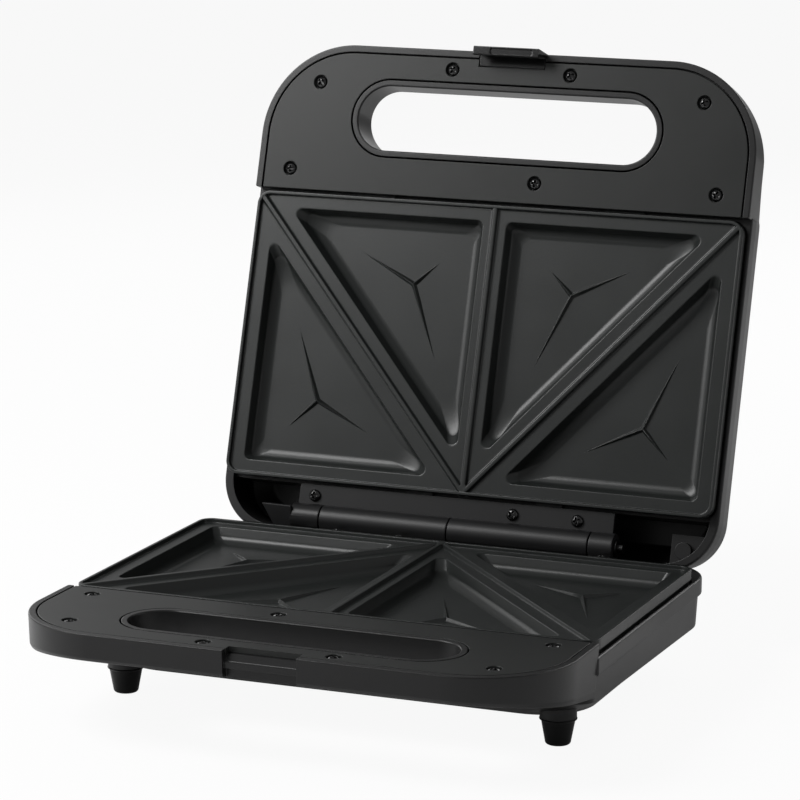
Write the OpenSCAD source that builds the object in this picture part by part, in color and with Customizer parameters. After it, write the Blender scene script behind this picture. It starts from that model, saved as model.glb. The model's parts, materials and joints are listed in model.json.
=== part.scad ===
// Sandwich toaster for four triangular toasties.
// Two turned-over halves of one moulding, each with a cast cooking plate, joined
// by a two-leaf hinge at the back and held shut by a sprung catch at the front.
// Millimetres, +Z up, front towards -Y. It stands open, the lid on its stop.

/* [Body] */
// Width of the body over the lip
body_w = 230; // [224:1:240]
// Distance from the back edge of the plate to the outside of the back wall
back_reach = 24.2; // [23.6:0.1:26]
// Depth of each half from its rim to its flat outside
body_depth = 35; // [33:0.5:38]
// Thickness of the moulded walls
wall = 2.5; // [2:0.1:3]
// Plan radius of the two corners beside the hinge
hinge_corner_r = 24; // [18:1:28]
// Draft of the side and back walls, degrees
wall_draft = 3.9; // [2:0.1:5]
// Depth at which the side walls turn into the sloping lower edge
flank_depth = 26.5; // [25:0.5:28]
// Depth at which the slope turns into the rounded belly
slope_depth = 32.5; // [31:0.25:32.75]
// How far the slope comes in from the side wall
slope_in = 5.3; // [4:0.1:6.5]
// How far the belly edge comes in from the slope
belly_in = 3.5; // [2:0.1:4]
// Height of the rim above the table
rim_height = 46; // [44:0.5:50]

/* [Lip round the plate] */
// Depth of the top of the lip below the rim plane
lip_top = 5.7; // [5:0.1:6.5]
// Depth of the lower edge of the lip
lip_bottom = 12.6; // [11:0.1:14]
// How far the lip stands out from the wall below it
lip_proud = 1; // [0.5:0.1:1.5]
// Depth of the ledge that the plate stands on
ledge_depth = 9.5; // [9:0.1:10.5]

/* [Handle] */
// Reach of the handle in front of the plate
handle_reach = 67.7; // [64:0.5:72]
// Plan radius of the handle's front corners
handle_corner_r = 41.5; // [36:0.5:44]
// Depth of the straight part of the handle's front wall
handle_wall = 7.3; // [6.5:0.1:8]
// Depth of the handle's front lower edge
handle_edge = 11.3; // [10.5:0.1:12.5]
// Depth of the handle where it joins the body
handle_root = 18.6; // [17.5:0.1:20]
// Distance of that joint in front of the plate
root_reach = 13; // [11:0.5:15]
// Distance of the handle's back edge in front of the plate
handle_gap = 1.5; // [1.2:0.1:2]
// Width of the rim left round the handle cover
rim_band = 3; // [2.6:0.1:4]
// Width of the ledge that the handle cover lies on
cover_ledge = 1.6; // [1.2:0.1:2.5]
// Thickness of the handle cover
cover_t = 2.5; // [2:0.1:3]
// Seam between the handle cover and what is round it
seam = 0.45; // [0.3:0.05:0.6]

/* [Grip slot] */
// Length of the grip slot
slot_l = 138.8; // [120:1:142]
// Height of the grip slot, front to back
slot_h = 28.9; // [24:0.5:30]
// Distance of the slot's middle in front of the plate
slot_reach = 35.6; // [34.5:0.1:36.5]
// Thickness of the collar round the slot
collar_t = 2.6; // [2:0.1:3]

/* [Cooking plate] */
// Distance from the side of the body to the side of the cooking plate
plate_inset = 2; // [2:0.1:5]
// Depth of the cooking plate, front to back
plate_d = 127.8; // [122:0.2:130]
// Plan radius of the plate's corners
plate_r = 6; // [4:0.5:8]
// Gap between the plate's skirt and the lip
plate_gap = 0.4; // [0.3:0.05:0.6]
// Thickness of the plate's skirt
skirt_t = 2.4; // [2:0.1:2.6]
// Width of the raised rim on top of the skirt
rim_t = 1.5; // [1.2:0.1:2]
// Depth of the flat lands below the rim
land_depth = 1.8; // [1.4:0.1:2.2]
// Thickness of the casting
cast_t = 2.6; // [2.2:0.1:3]
// Width of the dividing ridges at their crest
ridge_w = 1.4; // [1:0.1:2]
// Width that the flank of a ridge adds on each side
ridge_flank = 1.1; // [0.8:0.1:1.6]
// How far a ridge stays below the rim
ridge_drop = 0.2; // [0.1:0.05:0.5]

/* [Pockets] */
// Depth of the pocket floor below the rim
pocket_depth = 8.6; // [7.5:0.1:9]
// Land between the front or back edge and a pocket
edge_land = 7; // [6:0.1:8]
// Land between the side edge and a pocket
side_land = 7.8; // [6.5:0.1:9]
// Land between the middle ridge and a pocket
middle_land = 5.5; // [4.5:0.1:6.5]
// Land between a slanting ridge and a pocket
slant_land = 7.2; // [6:0.1:8.5]
// Plan radius of the pocket corners
pocket_r = 2.8; // [2:0.1:3.5]
// Height of the steep upper part of the pocket wall
steep_h = 2.2; // [1.5:0.1:3]
// How far the steep part leans in
steep_in = 0.6; // [0.3:0.1:1]
// Width of the rounded foot of the pocket wall
foot_fillet = 5.6; // [4:0.1:7]
// Height of the three-armed rib on the pocket floor
rib_h = 1; // [0.6:0.1:1.4]
// Half width of that rib at its middle
rib_hw = 1.5; // [1:0.1:2]

/* [Hinge] */
// Distance of the hinge axis behind the plate
axis_reach = 16.3; // [15.5:0.1:17]
// Angle between the halves when the lid rests on its stop
open_angle = 107.6; // [100:0.2:112]
// Gap between the two rims when the lid is shut
parting_gap = 0.3; // [0.3:0.05:0.6]
// Gap left between the back walls at the stop
stop_gap = 0.3; // [0.3:0.05:0.5]
// Radius of the hinge barrel
barrel_r = 6.2; // [5.6:0.1:6.4]
// Radius of the hinge pin
pin_r = 2; // [1.8:0.1:2.5]
// Radial running clearance on the pins
pin_play = 0.05; // [0.03:0.01:0.08]
// Gap between neighbouring knuckles
knuckle_gap = 0.35; // [0.3:0.05:0.6]
// Depth of the face of the hinge leaf
leaf_depth = 3; // [2.6:0.1:3.5]
// Thickness of the hinge leaf
leaf_t = 1.8; // [1.5:0.1:2.1]
// Distance of the front edge of the leaf behind the plate
leaf_gap = 1.2; // [0.8:0.1:1.6]

/* [Catch] */
// Width of the notch for the catch lever
notch_w = 31; // [28:0.5:34]
// How far the notch goes in from the front of the handle
notch_in = 7; // [6.8:0.1:8]
// Gap between the catch lever and the sides of its notch
lever_gap = 0.4; // [0.3:0.05:0.6]
// Thickness of the lever's hook plate
hook_t = 2; // [1.8:0.1:2.2]
// How far the hook reaches past the rim plane
hook_drop = 9.9; // [9.5:0.1:10.5]
// How far the nose of the hook stands in
nose_in = 1.9; // [1.6:0.1:2]
// Height of the nose
nose_h = 1.8; // [1.5:0.1:2]
// Radius of the lever's pin
latch_pin_r = 1.1; // [1:0.1:1.3]

/* [Feet] */
// Radius of a foot where it meets the body
foot_top_r = 6.8; // [6:0.1:7.2]
// Radius of a foot at its sole
foot_sole_r = 5.2; // [4.5:0.1:6]
// Distance of the front feet from the side of the body
front_foot_in = 20.6; // [20:0.2:27]
// Distance of the front feet behind the plate's front edge
front_foot_y = 10; // [10:0.5:14]
// Distance of the rear feet from the side of the body
rear_foot_in = 35; // [30:1:37]
// Distance of the rear feet behind the plate's front edge
rear_foot_y = 132.8; // [131.5:0.1:133]

/* [Inside] */
// Radius of the tubular heating element
heater_r = 3.3; // [3:0.1:3.5]
// Distance between the two legs of the element
heater_pitch = 60; // [50:1:66]
// Thickness of the heat shield's sheet
shield_t = 0.8; // [0.6:0.1:1]
// Radius of the outside of the cord gland
gland_r = 5.4; // [5:0.1:5.6]
// Radius of the hole for the cord
cord_hole_r = 3.4; // [3:0.1:3.6]
// Radius of the indicator lenses
lens_r = 3; // [2.5:0.1:3.5]

/* [Hidden] */

$fn = 48;
corner_steps = 9;
tiny = 0.01;
over = 1;

// Colours of the materials, as the photograph shows them
shell_colour = [0.10, 0.10, 0.105];
cover_colour = [0.17, 0.18, 0.175];
plate_colour = [0.23, 0.25, 0.245];
metal_colour = [0.05, 0.05, 0.055];
steel_colour = [0.70, 0.71, 0.72];
rubber_colour = [0.07, 0.07, 0.07];

// Half frame: rim plane at z = 0 and the half hanging below it, plate front
// edge at y = 0, middle at x = 0.
half_w = body_w / 2;
plate_hw = half_w - plate_inset;
axis_y = plate_d + axis_reach;
axis_z = parting_gap / 2;
back_y = plate_d + back_reach;
front_y = -handle_reach;
handle_end = -handle_gap;
slot_y = -slot_reach;
floor_depth = body_depth - wall;
belly_y = (body_depth - handle_root) * 0.884 - root_reach;
hinge_side_r = 0.6;
notch_y = front_y + notch_in;

// --- Plane figures -------------------------------------------------------

// Points on an arc
function arc(c, r, a0, a1, n) =
    [for (i = [0:n]) let (a = a0 + (a1 - a0) * i / n) c + r * [cos(a), sin(a)]];

// Four-sided outline with its own radius at the front and at the back
function outline(hw, y0, y1, rf, rb, n = corner_steps) = concat(
    arc([hw - rf, y0 + rf], rf, -90, 0, n),
    arc([hw - rb, y1 - rb], rb, 0, 90, n),
    arc([rb - hw, y1 - rb], rb, 90, 180, n),
    arc([rf - hw, y0 + rf], rf, 180, 270, n)
);

// The same outline at a depth that grows by k for each millimetre behind y0
function ring(hw, y0, y1, rf, rb, d, k = 0) =
    [for (p = outline(hw, y0, y1, rf, rb)) [p.x, p.y, -(d + k * (p.y - y0))]];

// Closed solid through equal rings, listed from the top down
module loft(rings) {
    n = len(rings[0]);
    m = len(rings);
    polyhedron(
        points = [for (r = rings) each r],
        faces = concat(
            [[for (i = [n - 1:-1:0]) i]],
            [[for (i = [0:n - 1]) (m - 1) * n + i]],
            [for (j = [0:m - 2]) for (i = [0:n - 1])
                let (a = j * n + i, b = j * n + (i + 1) % n)
                each [[a, b, b + n], [a, b + n, a + n]]]
        )
    );
}

// Long hole shape with round ends
module long_hole(l, h) {
    square([l - h, h], center = true);
    for (s = [-1, 1])
        translate([s * (l - h) / 2, 0])
            circle(d = h);
}

// Upright solid between two depths
module slab(d0, d1) {
    translate([0, 0, -d1])
        linear_extrude(d1 - d0)
            children();
}

// Upright round post or hole between two depths
module post(p, r, d0, d1) {
    translate([p.x, p.y, -d1])
        cylinder(r = r, h = d1 - d0);
}

// Solid along X from its outline in y and z
module along_x(x0, x1, points) {
    translate([x0, 0, 0])
        rotate([90, 0, 90])
            linear_extrude(x1 - x0)
                polygon(points);
}

// --- Housing, the same for the base and the lid ------------------------------

// How far the wall has come in at a depth
function wall_in(d) =
    d <= flank_depth ? lip_proud + (d - lip_top) * tan(wall_draft)
    : d <= slope_depth ? wall_in(flank_depth)
        + slope_in * (d - flank_depth) / (slope_depth - flank_depth)
    : wall_in(slope_depth) + belly_in * (d - slope_depth) / (body_depth - slope_depth);

// Front face of the body block, which slopes back under the handle
function block_front(d) =
    d < handle_root ? -root_reach + (handle_root - d) * 0.7
    : -root_reach + (d - handle_root) * (belly_y + root_reach) / (body_depth - handle_root);

// Plan radius of the block's front corners
function block_corner(d) = d <= handle_root ? 3 : 14 - 0.7 * (d - flank_depth);

function block_ring(d, t = 0) = ring(
    half_w - wall_in(d + t * 0.2) - t, block_front(d) + 1.4 * t,
    back_y - wall_in(d) - t, block_corner(d), hinge_corner_r - wall_in(d) - t, d
);

module block_solid() {
    loft([for (d = [lip_top, handle_root, flank_depth, slope_depth, body_depth])
        block_ring(d)]);
}

// Floor of the cavity, which stays flat over the rounded belly
function floor_ring(d) = ring(
    half_w - wall_in(slope_depth) - 1.6 * wall, block_front(d) + 1.4 * wall,
    back_y - wall_in(slope_depth) - 1.6 * wall, block_corner(slope_depth),
    hinge_corner_r - wall_in(slope_depth) - wall, d
);

module block_cavity() {
    top = ledge_depth - 6;
    loft(concat(
        [ring(half_w - wall_in(lip_top) - 1.25 * wall, over, back_y - wall_in(lip_top) - wall,
            3, hinge_corner_r - wall_in(lip_top) - wall, top)],
        [for (d = [handle_root, flank_depth, slope_depth - wall * 0.4]) block_ring(d, wall)],
        [floor_ring(floor_depth)]
    ));
}

// The handle's underside falls towards the body by this much each millimetre
handle_slope = (handle_root - handle_edge) / (handle_reach - root_reach);

// Solid through rings, each given as how far it comes in from the handle's
// outline, its depth at the front and its share of the slope
module handle_loft(section, y1) {
    loft([for (s = section)
        ring(half_w - s[0], front_y + s[0], y1, handle_corner_r - s[0], hinge_side_r,
            s[1], s[2] * handle_slope)]);
}

module handle_solid() {
    handle_loft([
        [0, 0, 0],
        [0.6, handle_wall, 0.7],
        [2.2, handle_wall + 0.65 * (handle_edge - handle_wall), 0.9],
        [5.5, handle_edge, 1],
        [18, handle_edge + 3, 0.85]
    ], handle_end);
}

module handle_cavity() {
    inset = rim_band + cover_ledge;
    skin = 1.9;
    handle_loft([
        [inset, over, 0],
        [inset + 0.4, handle_wall - 0.8, 0.7],
        [9, handle_edge - skin, 1],
        [20, handle_edge + 3 - skin, 0.85]
    ], handle_end - wall);
}

// Where the seven screws of the handle cover stand
corner_screw_in = 25.55;
corner_screw_y = 17.51;
side_screw_in = 15.83;
side_screw_y = 9.05;
front_screw_x = 27.42;
front_screw_y = 8.83;
seventh_screw_x = -16.7;
corner_screw = [half_w - corner_screw_in, front_y + corner_screw_y];
side_screw = [half_w - side_screw_in, handle_end - side_screw_y];
front_screw = [front_screw_x, front_y + front_screw_y];
cover_screws = [
    [-corner_screw.x, corner_screw.y], corner_screw,
    [-side_screw.x, side_screw.y], side_screw,
    [-front_screw.x, front_screw.y], front_screw,
    [seventh_screw_x, side_screw.y]
];
// Where the heat shield is screwed down
shield_screw_in = [25, 18];
shield_screws = [
    for (x = [shield_screw_in.x - plate_hw, plate_hw - shield_screw_in.x])
        for (y = [shield_screw_in.y, plate_d - shield_screw_in.y])
            [x, y]
];

// Ends of the hinge leaf, and where its knuckles and its screws stand
leaf_left_in = 45.5;
leaf_right_in = 38;
leaf_x0 = leaf_left_in - half_w;
leaf_x1 = half_w - leaf_right_in;
knuckle_mid = -3;
knuckle_end = leaf_x1 - 4.5;
short_knuckle_l = 11;
knuckle_x0 = leaf_x0 + 6.5;
knuckle_x1 = knuckle_end - short_knuckle_l;
leaf_screw_y = plate_d + leaf_gap + 5;
leaf_screws = [
    for (x = [leaf_x0 + 16.5, knuckle_mid - 20.3, leaf_x1 - 7.5])
        [x, leaf_screw_y]
];

screw_r = 1.5;
screw_play = 0.05;
screw_slack = 0.3;
boss_r = 3.6;
head_r = 2.7;
head_h = 1.8;
head_well = 0.35;
well_h = 1.9;

shield_top = pocket_depth + cast_t + 2 * heater_r;
leaf_back = leaf_depth + leaf_t;
corner_post = [15.5 - half_w, back_y - 10];
corner_post_r = 3.7;
corner_post_h = 0.7;
corner_shelf_depth = 9.5;
corner_shelf_reach = 7;

// Tongues of the plate: two in front under the handle cover, two behind
tongue_x = 58;
tongue_w = 18;
tongue_t = 2.5;
rear_tongues = [-38, 22];
rear_tongue_w = 12;
rear_tongue_l = 5;

// Everything that stands up inside the housing
module housing_features() {
    rib_t = 1.6;
    rib_h = 6;
    rib_pitch = 45;
    // Wall between handle and body, with its step under the plate's skirt
    translate([-half_w, handle_end - wall, -body_depth])
        cube([body_w, wall, body_depth - cover_t]);
    translate([-half_w, handle_end - tiny, -body_depth])
        cube([body_w, handle_gap + 2 * skirt_t / 3, body_depth - ledge_depth]);
    // Rib under the back of the plate's skirt
    translate([-half_w, plate_d - skirt_t, -body_depth])
        cube([body_w, skirt_t + plate_gap + 0.6, body_depth - ledge_depth]);
    // Collar round the grip slot
    translate([0, slot_y])
        slab(0, body_depth)
            long_hole(slot_l + 2 * collar_t, slot_h + 2 * collar_t);
    // Walls round the notch of the catch
    translate([-notch_w / 2 - wall, front_y - over, -body_depth])
        cube([notch_w + 2 * wall, notch_in + over + 0.8 * wall, body_depth - cover_t]);
    for (p = cover_screws)
        post(p, boss_r, cover_t, body_depth);
    for (p = shield_screws)
        post(p, boss_r, shield_top + shield_t, body_depth);
    for (p = leaf_screws)
        post(p, boss_r, leaf_back, body_depth);
    // Corner shelf beside the hinge with its post
    translate([-half_w, corner_post.y - corner_shelf_reach, -body_depth])
        cube([
            half_w + corner_post.x + corner_shelf_reach - 1,
            hinge_corner_r,
            body_depth - corner_shelf_depth
        ]);
    post(corner_post, corner_post_r, corner_shelf_depth - corner_post_h, body_depth);
    // Ribs that stiffen the floor
    for (x = [-rib_pitch, 0, rib_pitch])
        translate([x - rib_t / 2, 0, -body_depth])
            cube([rib_t, plate_d, wall + rib_h]);
}

// Everything that is cut out of the housing
module housing_cuts() {
    // Recess for the handle cover
    slab(-over, cover_t)
        polygon(outline(half_w - rim_band, front_y + rim_band, over,
            handle_corner_r - rim_band, hinge_side_r));
    // Opening that takes the cooking plate
    slab(-over, ledge_depth)
        polygon(outline(plate_hw + plate_gap, -plate_gap, plate_d + plate_gap,
            plate_r + plate_gap, plate_r + plate_gap, 4));
    grip_slot();
    // Notch for the catch
    translate([-notch_w / 2, front_y - over, -body_depth])
        cube([notch_w, notch_in + over, body_depth + over]);
    for (p = cover_screws)
        post(p, screw_r, cover_t - over, cover_t + cover_screw_l);
    for (p = shield_screws)
        post(p, screw_r, shield_top, floor_depth - over);
    for (p = leaf_screws)
        post(p, screw_r, leaf_depth, leaf_back + hinge_screw_l);
    // Notches for the plate's front tongues
    for (s = [-1, 1])
        translate([s * tongue_x - tongue_w / 2 - plate_gap, handle_end - wall - tiny,
            -cover_t - tongue_t - plate_gap])
            cube([tongue_w + 2 * plate_gap, wall + handle_gap, tongue_t + plate_gap + over]);
    stop_cut();
}

module grip_slot() {
    translate([0, slot_y])
        slab(-over, body_depth)
            long_hole(slot_l, slot_h);
}

// Cut that lets the back walls meet on the stop
module stop_cut() {
    reach = 60;
    translate([0, axis_y, axis_z])
        rotate([-open_angle / 2, 0, 0])
            translate([-body_w, 0, -stop_gap / 2])
                cube([2 * body_w, reach, reach]);
}

module housing() {
    difference() {
        union() {
            block_solid();
            handle_solid();
            slab(lip_top, lip_bottom)
                polygon(outline(half_w, handle_end - 1.5, back_y, 1.4, hinge_corner_r));
        }
        difference() {
            union() {
                block_cavity();
                handle_cavity();
            }
            housing_features();
        }
        housing_cuts();
    }
    // The slot's collar stands through the handle cover, level with the rim
    difference() {
        translate([0, slot_y])
            slab(0, cover_t + over)
                long_hole(slot_l + 2 * collar_t, slot_h + 2 * collar_t);
        grip_slot();
    }
}

// --- Handle cover -----------------------------------------------------------

module handle_cover() {
    inset = rim_band + seam;
    difference() {
        slab(0, cover_t)
            polygon(outline(half_w - inset, front_y + inset, handle_end,
                handle_corner_r - inset, hinge_side_r));
        translate([0, slot_y])
            slab(-over, cover_t + over)
                long_hole(slot_l + 2 * (collar_t + seam), slot_h + 2 * (collar_t + seam));
        translate([-notch_w / 2, front_y, -cover_t - over])
            cube([notch_w, notch_in, cover_t + 2 * over]);
        for (p = cover_screws) {
            post(p, head_r + head_well, -over, well_h);
            post(p, screw_r + screw_slack, 0, cover_t + over);
        }
    }
}

// --- Screws -----------------------------------------------------------------

cover_screw_l = 7;
shield_screw_l = 8;
hinge_screw_l = 9;

// Pan-head screw with a cross recess, its head seated on the point p at depth d
module screw(p, d, l, turn) {
    crown_h = 0.45 * head_h;
    slot_w = 0.8;
    slot_d = 1;
    translate([p.x, p.y, -d])
        rotate(turn) {
            difference() {
                union() {
                    cylinder(r = head_r, h = head_h - crown_h);
                    translate([0, 0, head_h - crown_h - tiny])
                        cylinder(r1 = head_r, r2 = head_r * 0.55, h = crown_h);
                }
                for (a = [0, 90])
                    rotate(a)
                        translate([-head_r * 0.6, -slot_w / 2, head_h - slot_d])
                            cube([head_r * 1.2, slot_w, slot_d + over]);
            }
            translate([0, 0, -l])
                cylinder(r = screw_r - screw_play, h = l + tiny);
        }
}

module cover_screw(i) {
    color(metal_colour)
        screw(cover_screws[i - 1], well_h, cover_screw_l, 25 * i);
}

module shield_screw(i) {
    color(steel_colour)
        screw(shield_screws[i - 1], shield_top, shield_screw_l, 25 * i);
}

module hinge_screw(i) {
    color(metal_colour)
        screw(leaf_screws[i - 1], leaf_depth, hinge_screw_l, 25 * i);
}

// --- Cooking plate ----------------------------------------------------------

pocket_pad = 2.4;

slant = [plate_hw, plate_d] / norm([plate_hw, plate_d]);
// Point on a line beside the left slanting ridge: o > 0 lies towards the middle
function beside(t, o) = [-plate_hw + t * slant.x + o * slant.y, t * slant.y - o * slant.x];
function beside_at_y(y, o) = beside((y + o * slant.x) / slant.y, o);
function beside_at_x(x, o) = beside((x + plate_hw - o * slant.y) / slant.x, o);

// Corners of the left pockets, anticlockwise
front_pocket = [
    beside_at_y(edge_land, slant_land), [-middle_land, edge_land],
    beside_at_x(-middle_land, slant_land)
];
back_pocket = [
    beside_at_x(side_land - plate_hw, -slant_land),
    beside_at_y(plate_d - edge_land, -slant_land),
    [side_land - plate_hw, plate_d - edge_land]
];

function side_len(t, i) = norm(t[(i + 1) % 3] - t[(i + 2) % 3]);
function around(t) = side_len(t, 0) + side_len(t, 1) + side_len(t, 2);
function middle(t) =
    (side_len(t, 0) * t[0] + side_len(t, 1) * t[1] + side_len(t, 2) * t[2]) / around(t);
function cross2(a, b) = a.x * b.y - a.y * b.x;
function inradius(t) = abs(cross2(t[1] - t[0], t[2] - t[0])) / around(t);
function edge_angle(t, i) =
    let (e = t[(i + 1) % 3] - t[i]) atan2(e.y, e.x) - 90;
function up_to(a, from) = a < from ? a + 360 : a;

// Triangle drawn in by k with its corners rounded
function round_triangle(t, k, r, n = 5) = [
    for (i = [0:2])
        let (
            c = middle(t) + (t[i] - middle(t)) * (1 - (k + r) / inradius(t)),
            a0 = edge_angle(t, (i + 2) % 3),
            a1 = up_to(edge_angle(t, i), a0)
        )
        each arc(c, r, a0, a1, n)
];
function triangle_ring(t, k, r, d) = [for (p = round_triangle(t, k, r)) [p.x, p.y, -d]];

// Room of one pocket: a steep wall, then a wide rounded foot
module pocket(t) {
    rise = pocket_depth - land_depth - steep_h;
    loft(concat(
        [triangle_ring(t, 0, pocket_r, -over), triangle_ring(t, 0, pocket_r, land_depth)],
        [for (a = [0, 30, 60, 90])
            triangle_ring(t, steep_in + foot_fillet * (1 - cos(a)), pocket_r,
                land_depth + steep_h + rise * sin(a))]
    ));
}

// Three-armed rib on a pocket floor: arms point at the corners
module floor_rib(t, c, reach) {
    root = 0.6;
    tips = [for (i = [0:2]) c + (t[i] - c) * reach[i]];
    dirs = [for (i = [0:2]) (t[i] - c) / norm(t[i] - c)];
    nooks = [for (i = [0:2])
        let (v = dirs[(i + 2) % 3] + dirs[i]) c + v / norm(v) * rib_hw];
    loop = [for (i = [0:2]) each [nooks[i], tips[i]]];
    polyhedron(
        points = concat(
            [[c.x, c.y, rib_h - pocket_depth]],
            [for (p = loop) [p.x, p.y, -pocket_depth]],
            [for (p = loop) [p.x, p.y, -pocket_depth - root]]
        ),
        faces = concat(
            [for (i = [0:5]) [0, 1 + (i + 1) % 6, 1 + i]],
            [for (i = [0:5]) let (j = (i + 1) % 6) each [[1 + i, 1 + j, 7 + j], [1 + i, 7 + j, 7 + i]]],
            [[for (i = [0:5]) 7 + i]]
        )
    );
}

// Where the three arms meet, and how far each reaches towards its corner
rib_front_middle = [-0.3265 * plate_hw, 0.2848 * plate_d];
rib_back_middle = [-0.6726 * plate_hw, 0.7167 * plate_d];
rib_front_reach = [0.43, 0.35, 0.44];
rib_back_reach = [0.44, 0.43, 0.43];

// Dividing ridge from a to b
module ridge(a, b) {
    v = b - a;
    h = land_depth - ridge_drop;
    crest = ridge_w / 2;
    base = crest + ridge_flank;
    root = 0.5;
    translate([a.x, a.y, -land_depth - tiny])
        rotate([90, 0, atan2(v.y, v.x) + 90])
            linear_extrude(norm(v))
                polygon([[-base, -root], [base, -root], [base, 0], [crest, h], [-crest, h], [-base, 0]]);
}

module plate_outline(inset) {
    polygon(outline(plate_hw - inset, inset, plate_d - inset,
        plate_r - inset * 0.8, plate_r - inset * 0.8, 5));
}

module plate() {
    difference() {
        union() {
            slab(land_depth, land_depth + cast_t)
                plate_outline(0.2);
            difference() {
                slab(0, ledge_depth)
                    plate_outline(0);
                slab(-over, land_depth + tiny)
                    plate_outline(rim_t);
                slab(land_depth - tiny, ledge_depth + over)
                    plate_outline(skirt_t);
            }
            for (s = [0, 1])
                mirror([s, 0, 0]) {
                    ridge([-plate_hw + 1, 1], [0, plate_d - 1]);
                    for (t = [front_pocket, back_pocket])
                        slab(land_depth + over, pocket_depth + cast_t)
                            polygon(round_triangle(t, -pocket_pad, pocket_r + pocket_pad, 3));
                }
            ridge([0, 0.8], [0, plate_d - 0.8]);
            // Tongues held down by the handle cover and by the hinge leaf
            for (s = [-1, 1])
                translate([s * tongue_x - tongue_w / 2, handle_end - wall, -cover_t - tongue_t])
                    cube([tongue_w, wall + handle_gap + skirt_t / 2, tongue_t]);
            for (x = rear_tongues)
                translate([x - rear_tongue_w / 2, plate_d - skirt_t / 2, -leaf_back - tongue_t])
                    cube([rear_tongue_w, rear_tongue_l, tongue_t]);
        }
        for (s = [0, 1])
            mirror([s, 0, 0])
                for (t = [front_pocket, back_pocket])
                    pocket(t);
    }
    for (s = [0, 1])
        mirror([s, 0, 0]) {
            floor_rib(front_pocket, rib_front_middle, rib_front_reach);
            floor_rib(back_pocket, rib_back_middle, rib_back_reach);
        }
}

// --- Under the plate ------------------------------------------------------------

heater_y = plate_d / 2;
heater_bend_in = 23;
heater_end_in = 35;
heater_x0 = heater_pitch / 2 + heater_bend_in - plate_hw;
heater_x1 = plate_hw - heater_end_in;
heater_z = -(pocket_depth + cast_t + heater_r);
shield_in = skirt_t + 0.4;
shield_r = 4;

// Bent tubular element with its two terminal pins
module heater() {
    leg = heater_x1 - heater_x0;
    terminal_r = 1.2;
    terminal_l = 14;
    for (s = [-1, 1])
        translate([heater_x0, heater_y + s * heater_pitch / 2, heater_z])
            rotate([0, 90, 0]) {
                cylinder(r = heater_r, h = leg);
                cylinder(r = terminal_r, h = leg + terminal_l);
            }
    translate([heater_x0, heater_y, heater_z])
        rotate(90)
            rotate_extrude(angle = 180)
                translate([heater_pitch / 2, 0])
                    circle(r = heater_r);
}

module shield_outline(inset, r) {
    polygon(outline(plate_hw - inset, inset, plate_d - inset, r, r, 4));
}

// Pressed steel tray that keeps the heat off the housing
module heat_shield() {
    wall_top = land_depth + cast_t;
    difference() {
        slab(wall_top, shield_top + shield_t)
            shield_outline(shield_in, shield_r);
        slab(wall_top - over, shield_top)
            shield_outline(shield_in + shield_t, shield_r - shield_t);
        for (p = shield_screws)
            post(p, screw_r + screw_slack, shield_top - over, shield_top + shield_t + over);
    }
}

// --- Hinge ------------------------------------------------------------------

leaf_y0 = plate_d + leaf_gap;

// One leaf: a flat strip with knuckles along the axis
module hinge_leaf(knuckles) {
    clear = barrel_r + 0.4;
    drop = leaf_depth + axis_z;
    difference() {
        union() {
            translate([leaf_x0, leaf_y0, -leaf_back])
                cube([leaf_x1 - leaf_x0, axis_y - sqrt(clear * clear - drop * drop) - leaf_y0, leaf_t]);
            for (k = knuckles) {
                translate([k[0], leaf_y0 + 2, -leaf_back])
                    cube([k[1] - k[0], axis_y - leaf_y0 - 4, leaf_t]);
                translate([k[0], axis_y, axis_z])
                    rotate([0, 90, 0])
                        cylinder(r = barrel_r, h = k[1] - k[0]);
            }
        }
        translate([leaf_x0 - over, axis_y, axis_z])
            rotate([0, 90, 0])
                cylinder(r = pin_r + pin_play, h = leaf_x1 - leaf_x0 + 2 * over);
        // Screw holes and the room for their heads
        for (p = leaf_screws) {
            post(p, screw_r + screw_slack, 0, leaf_back + over);
            post(p, head_r + 0.6, -barrel_r - over, leaf_depth);
        }
    }
}

gap2 = knuckle_gap / 2;
base_knuckles = [
    [knuckle_x0 + gap2, knuckle_mid - gap2],
    [knuckle_x1 + gap2, knuckle_end]
];
// Mirrored, because the lid is turned over on to the base
lid_knuckles = [
    [gap2 - knuckle_x1, -knuckle_mid - gap2],
    [gap2 - knuckle_x0, leaf_x1]
];

// Gusset at the free end of the lid's short knuckle, drawn as it stands open
module lid_gusset() {
    gusset_w = 13;
    gusset_t = 2;
    top = barrel_r;
    bottom = -0.87 * barrel_r;
    translate([-leaf_x1 - gusset_w, axis_y - 2 * gusset_t, axis_z])
        rotate([90, 0, 0])
            linear_extrude(gusset_t)
                polygon([
                    [0, top], [gusset_w + over, top - 0.2], [gusset_w + over, bottom + 0.4],
                    [0.7 * gusset_w, bottom], [0.42 * gusset_w, bottom / 2]
                ]);
}

// --- Placing the halves ----------------------------------------------------------

// The origin lies on the table under the middle of the open toaster
lid_back_y = axis_y - (belly_y - axis_y) * -cos(open_angle)
    + (body_depth + axis_z) * sin(open_angle);
origin_y = (front_y + lid_back_y) / 2;

module base_place() {
    translate([0, -origin_y, rim_height])
        children();
}

// A half turned over on to the base and swung open to the stop
module lid_place() {
    translate([0, axis_y - origin_y, rim_height + axis_z])
        rotate([-open_angle, 0, 0])
            translate([0, -axis_y, axis_z])
                rotate([0, 180, 0])
                    children();
}

// Things drawn in the base's frame as they stand, moved into the lid's own frame
module as_open() {
    rotate([0, 180, 0])
        translate([0, axis_y, -axis_z])
            rotate([open_angle, 0, 0])
                translate([0, -axis_y, -axis_z])
                    children();
}

// --- Base -------------------------------------------------------------------

gland_at = [-58, 20];
gland_out = 6;
gland_in = 5;
gland_neck = 1.05;

foot_front = [half_w - front_foot_in, front_foot_y];
foot_rear = [half_w - rear_foot_in, rear_foot_y];
foot_stem_r = 3;

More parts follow.
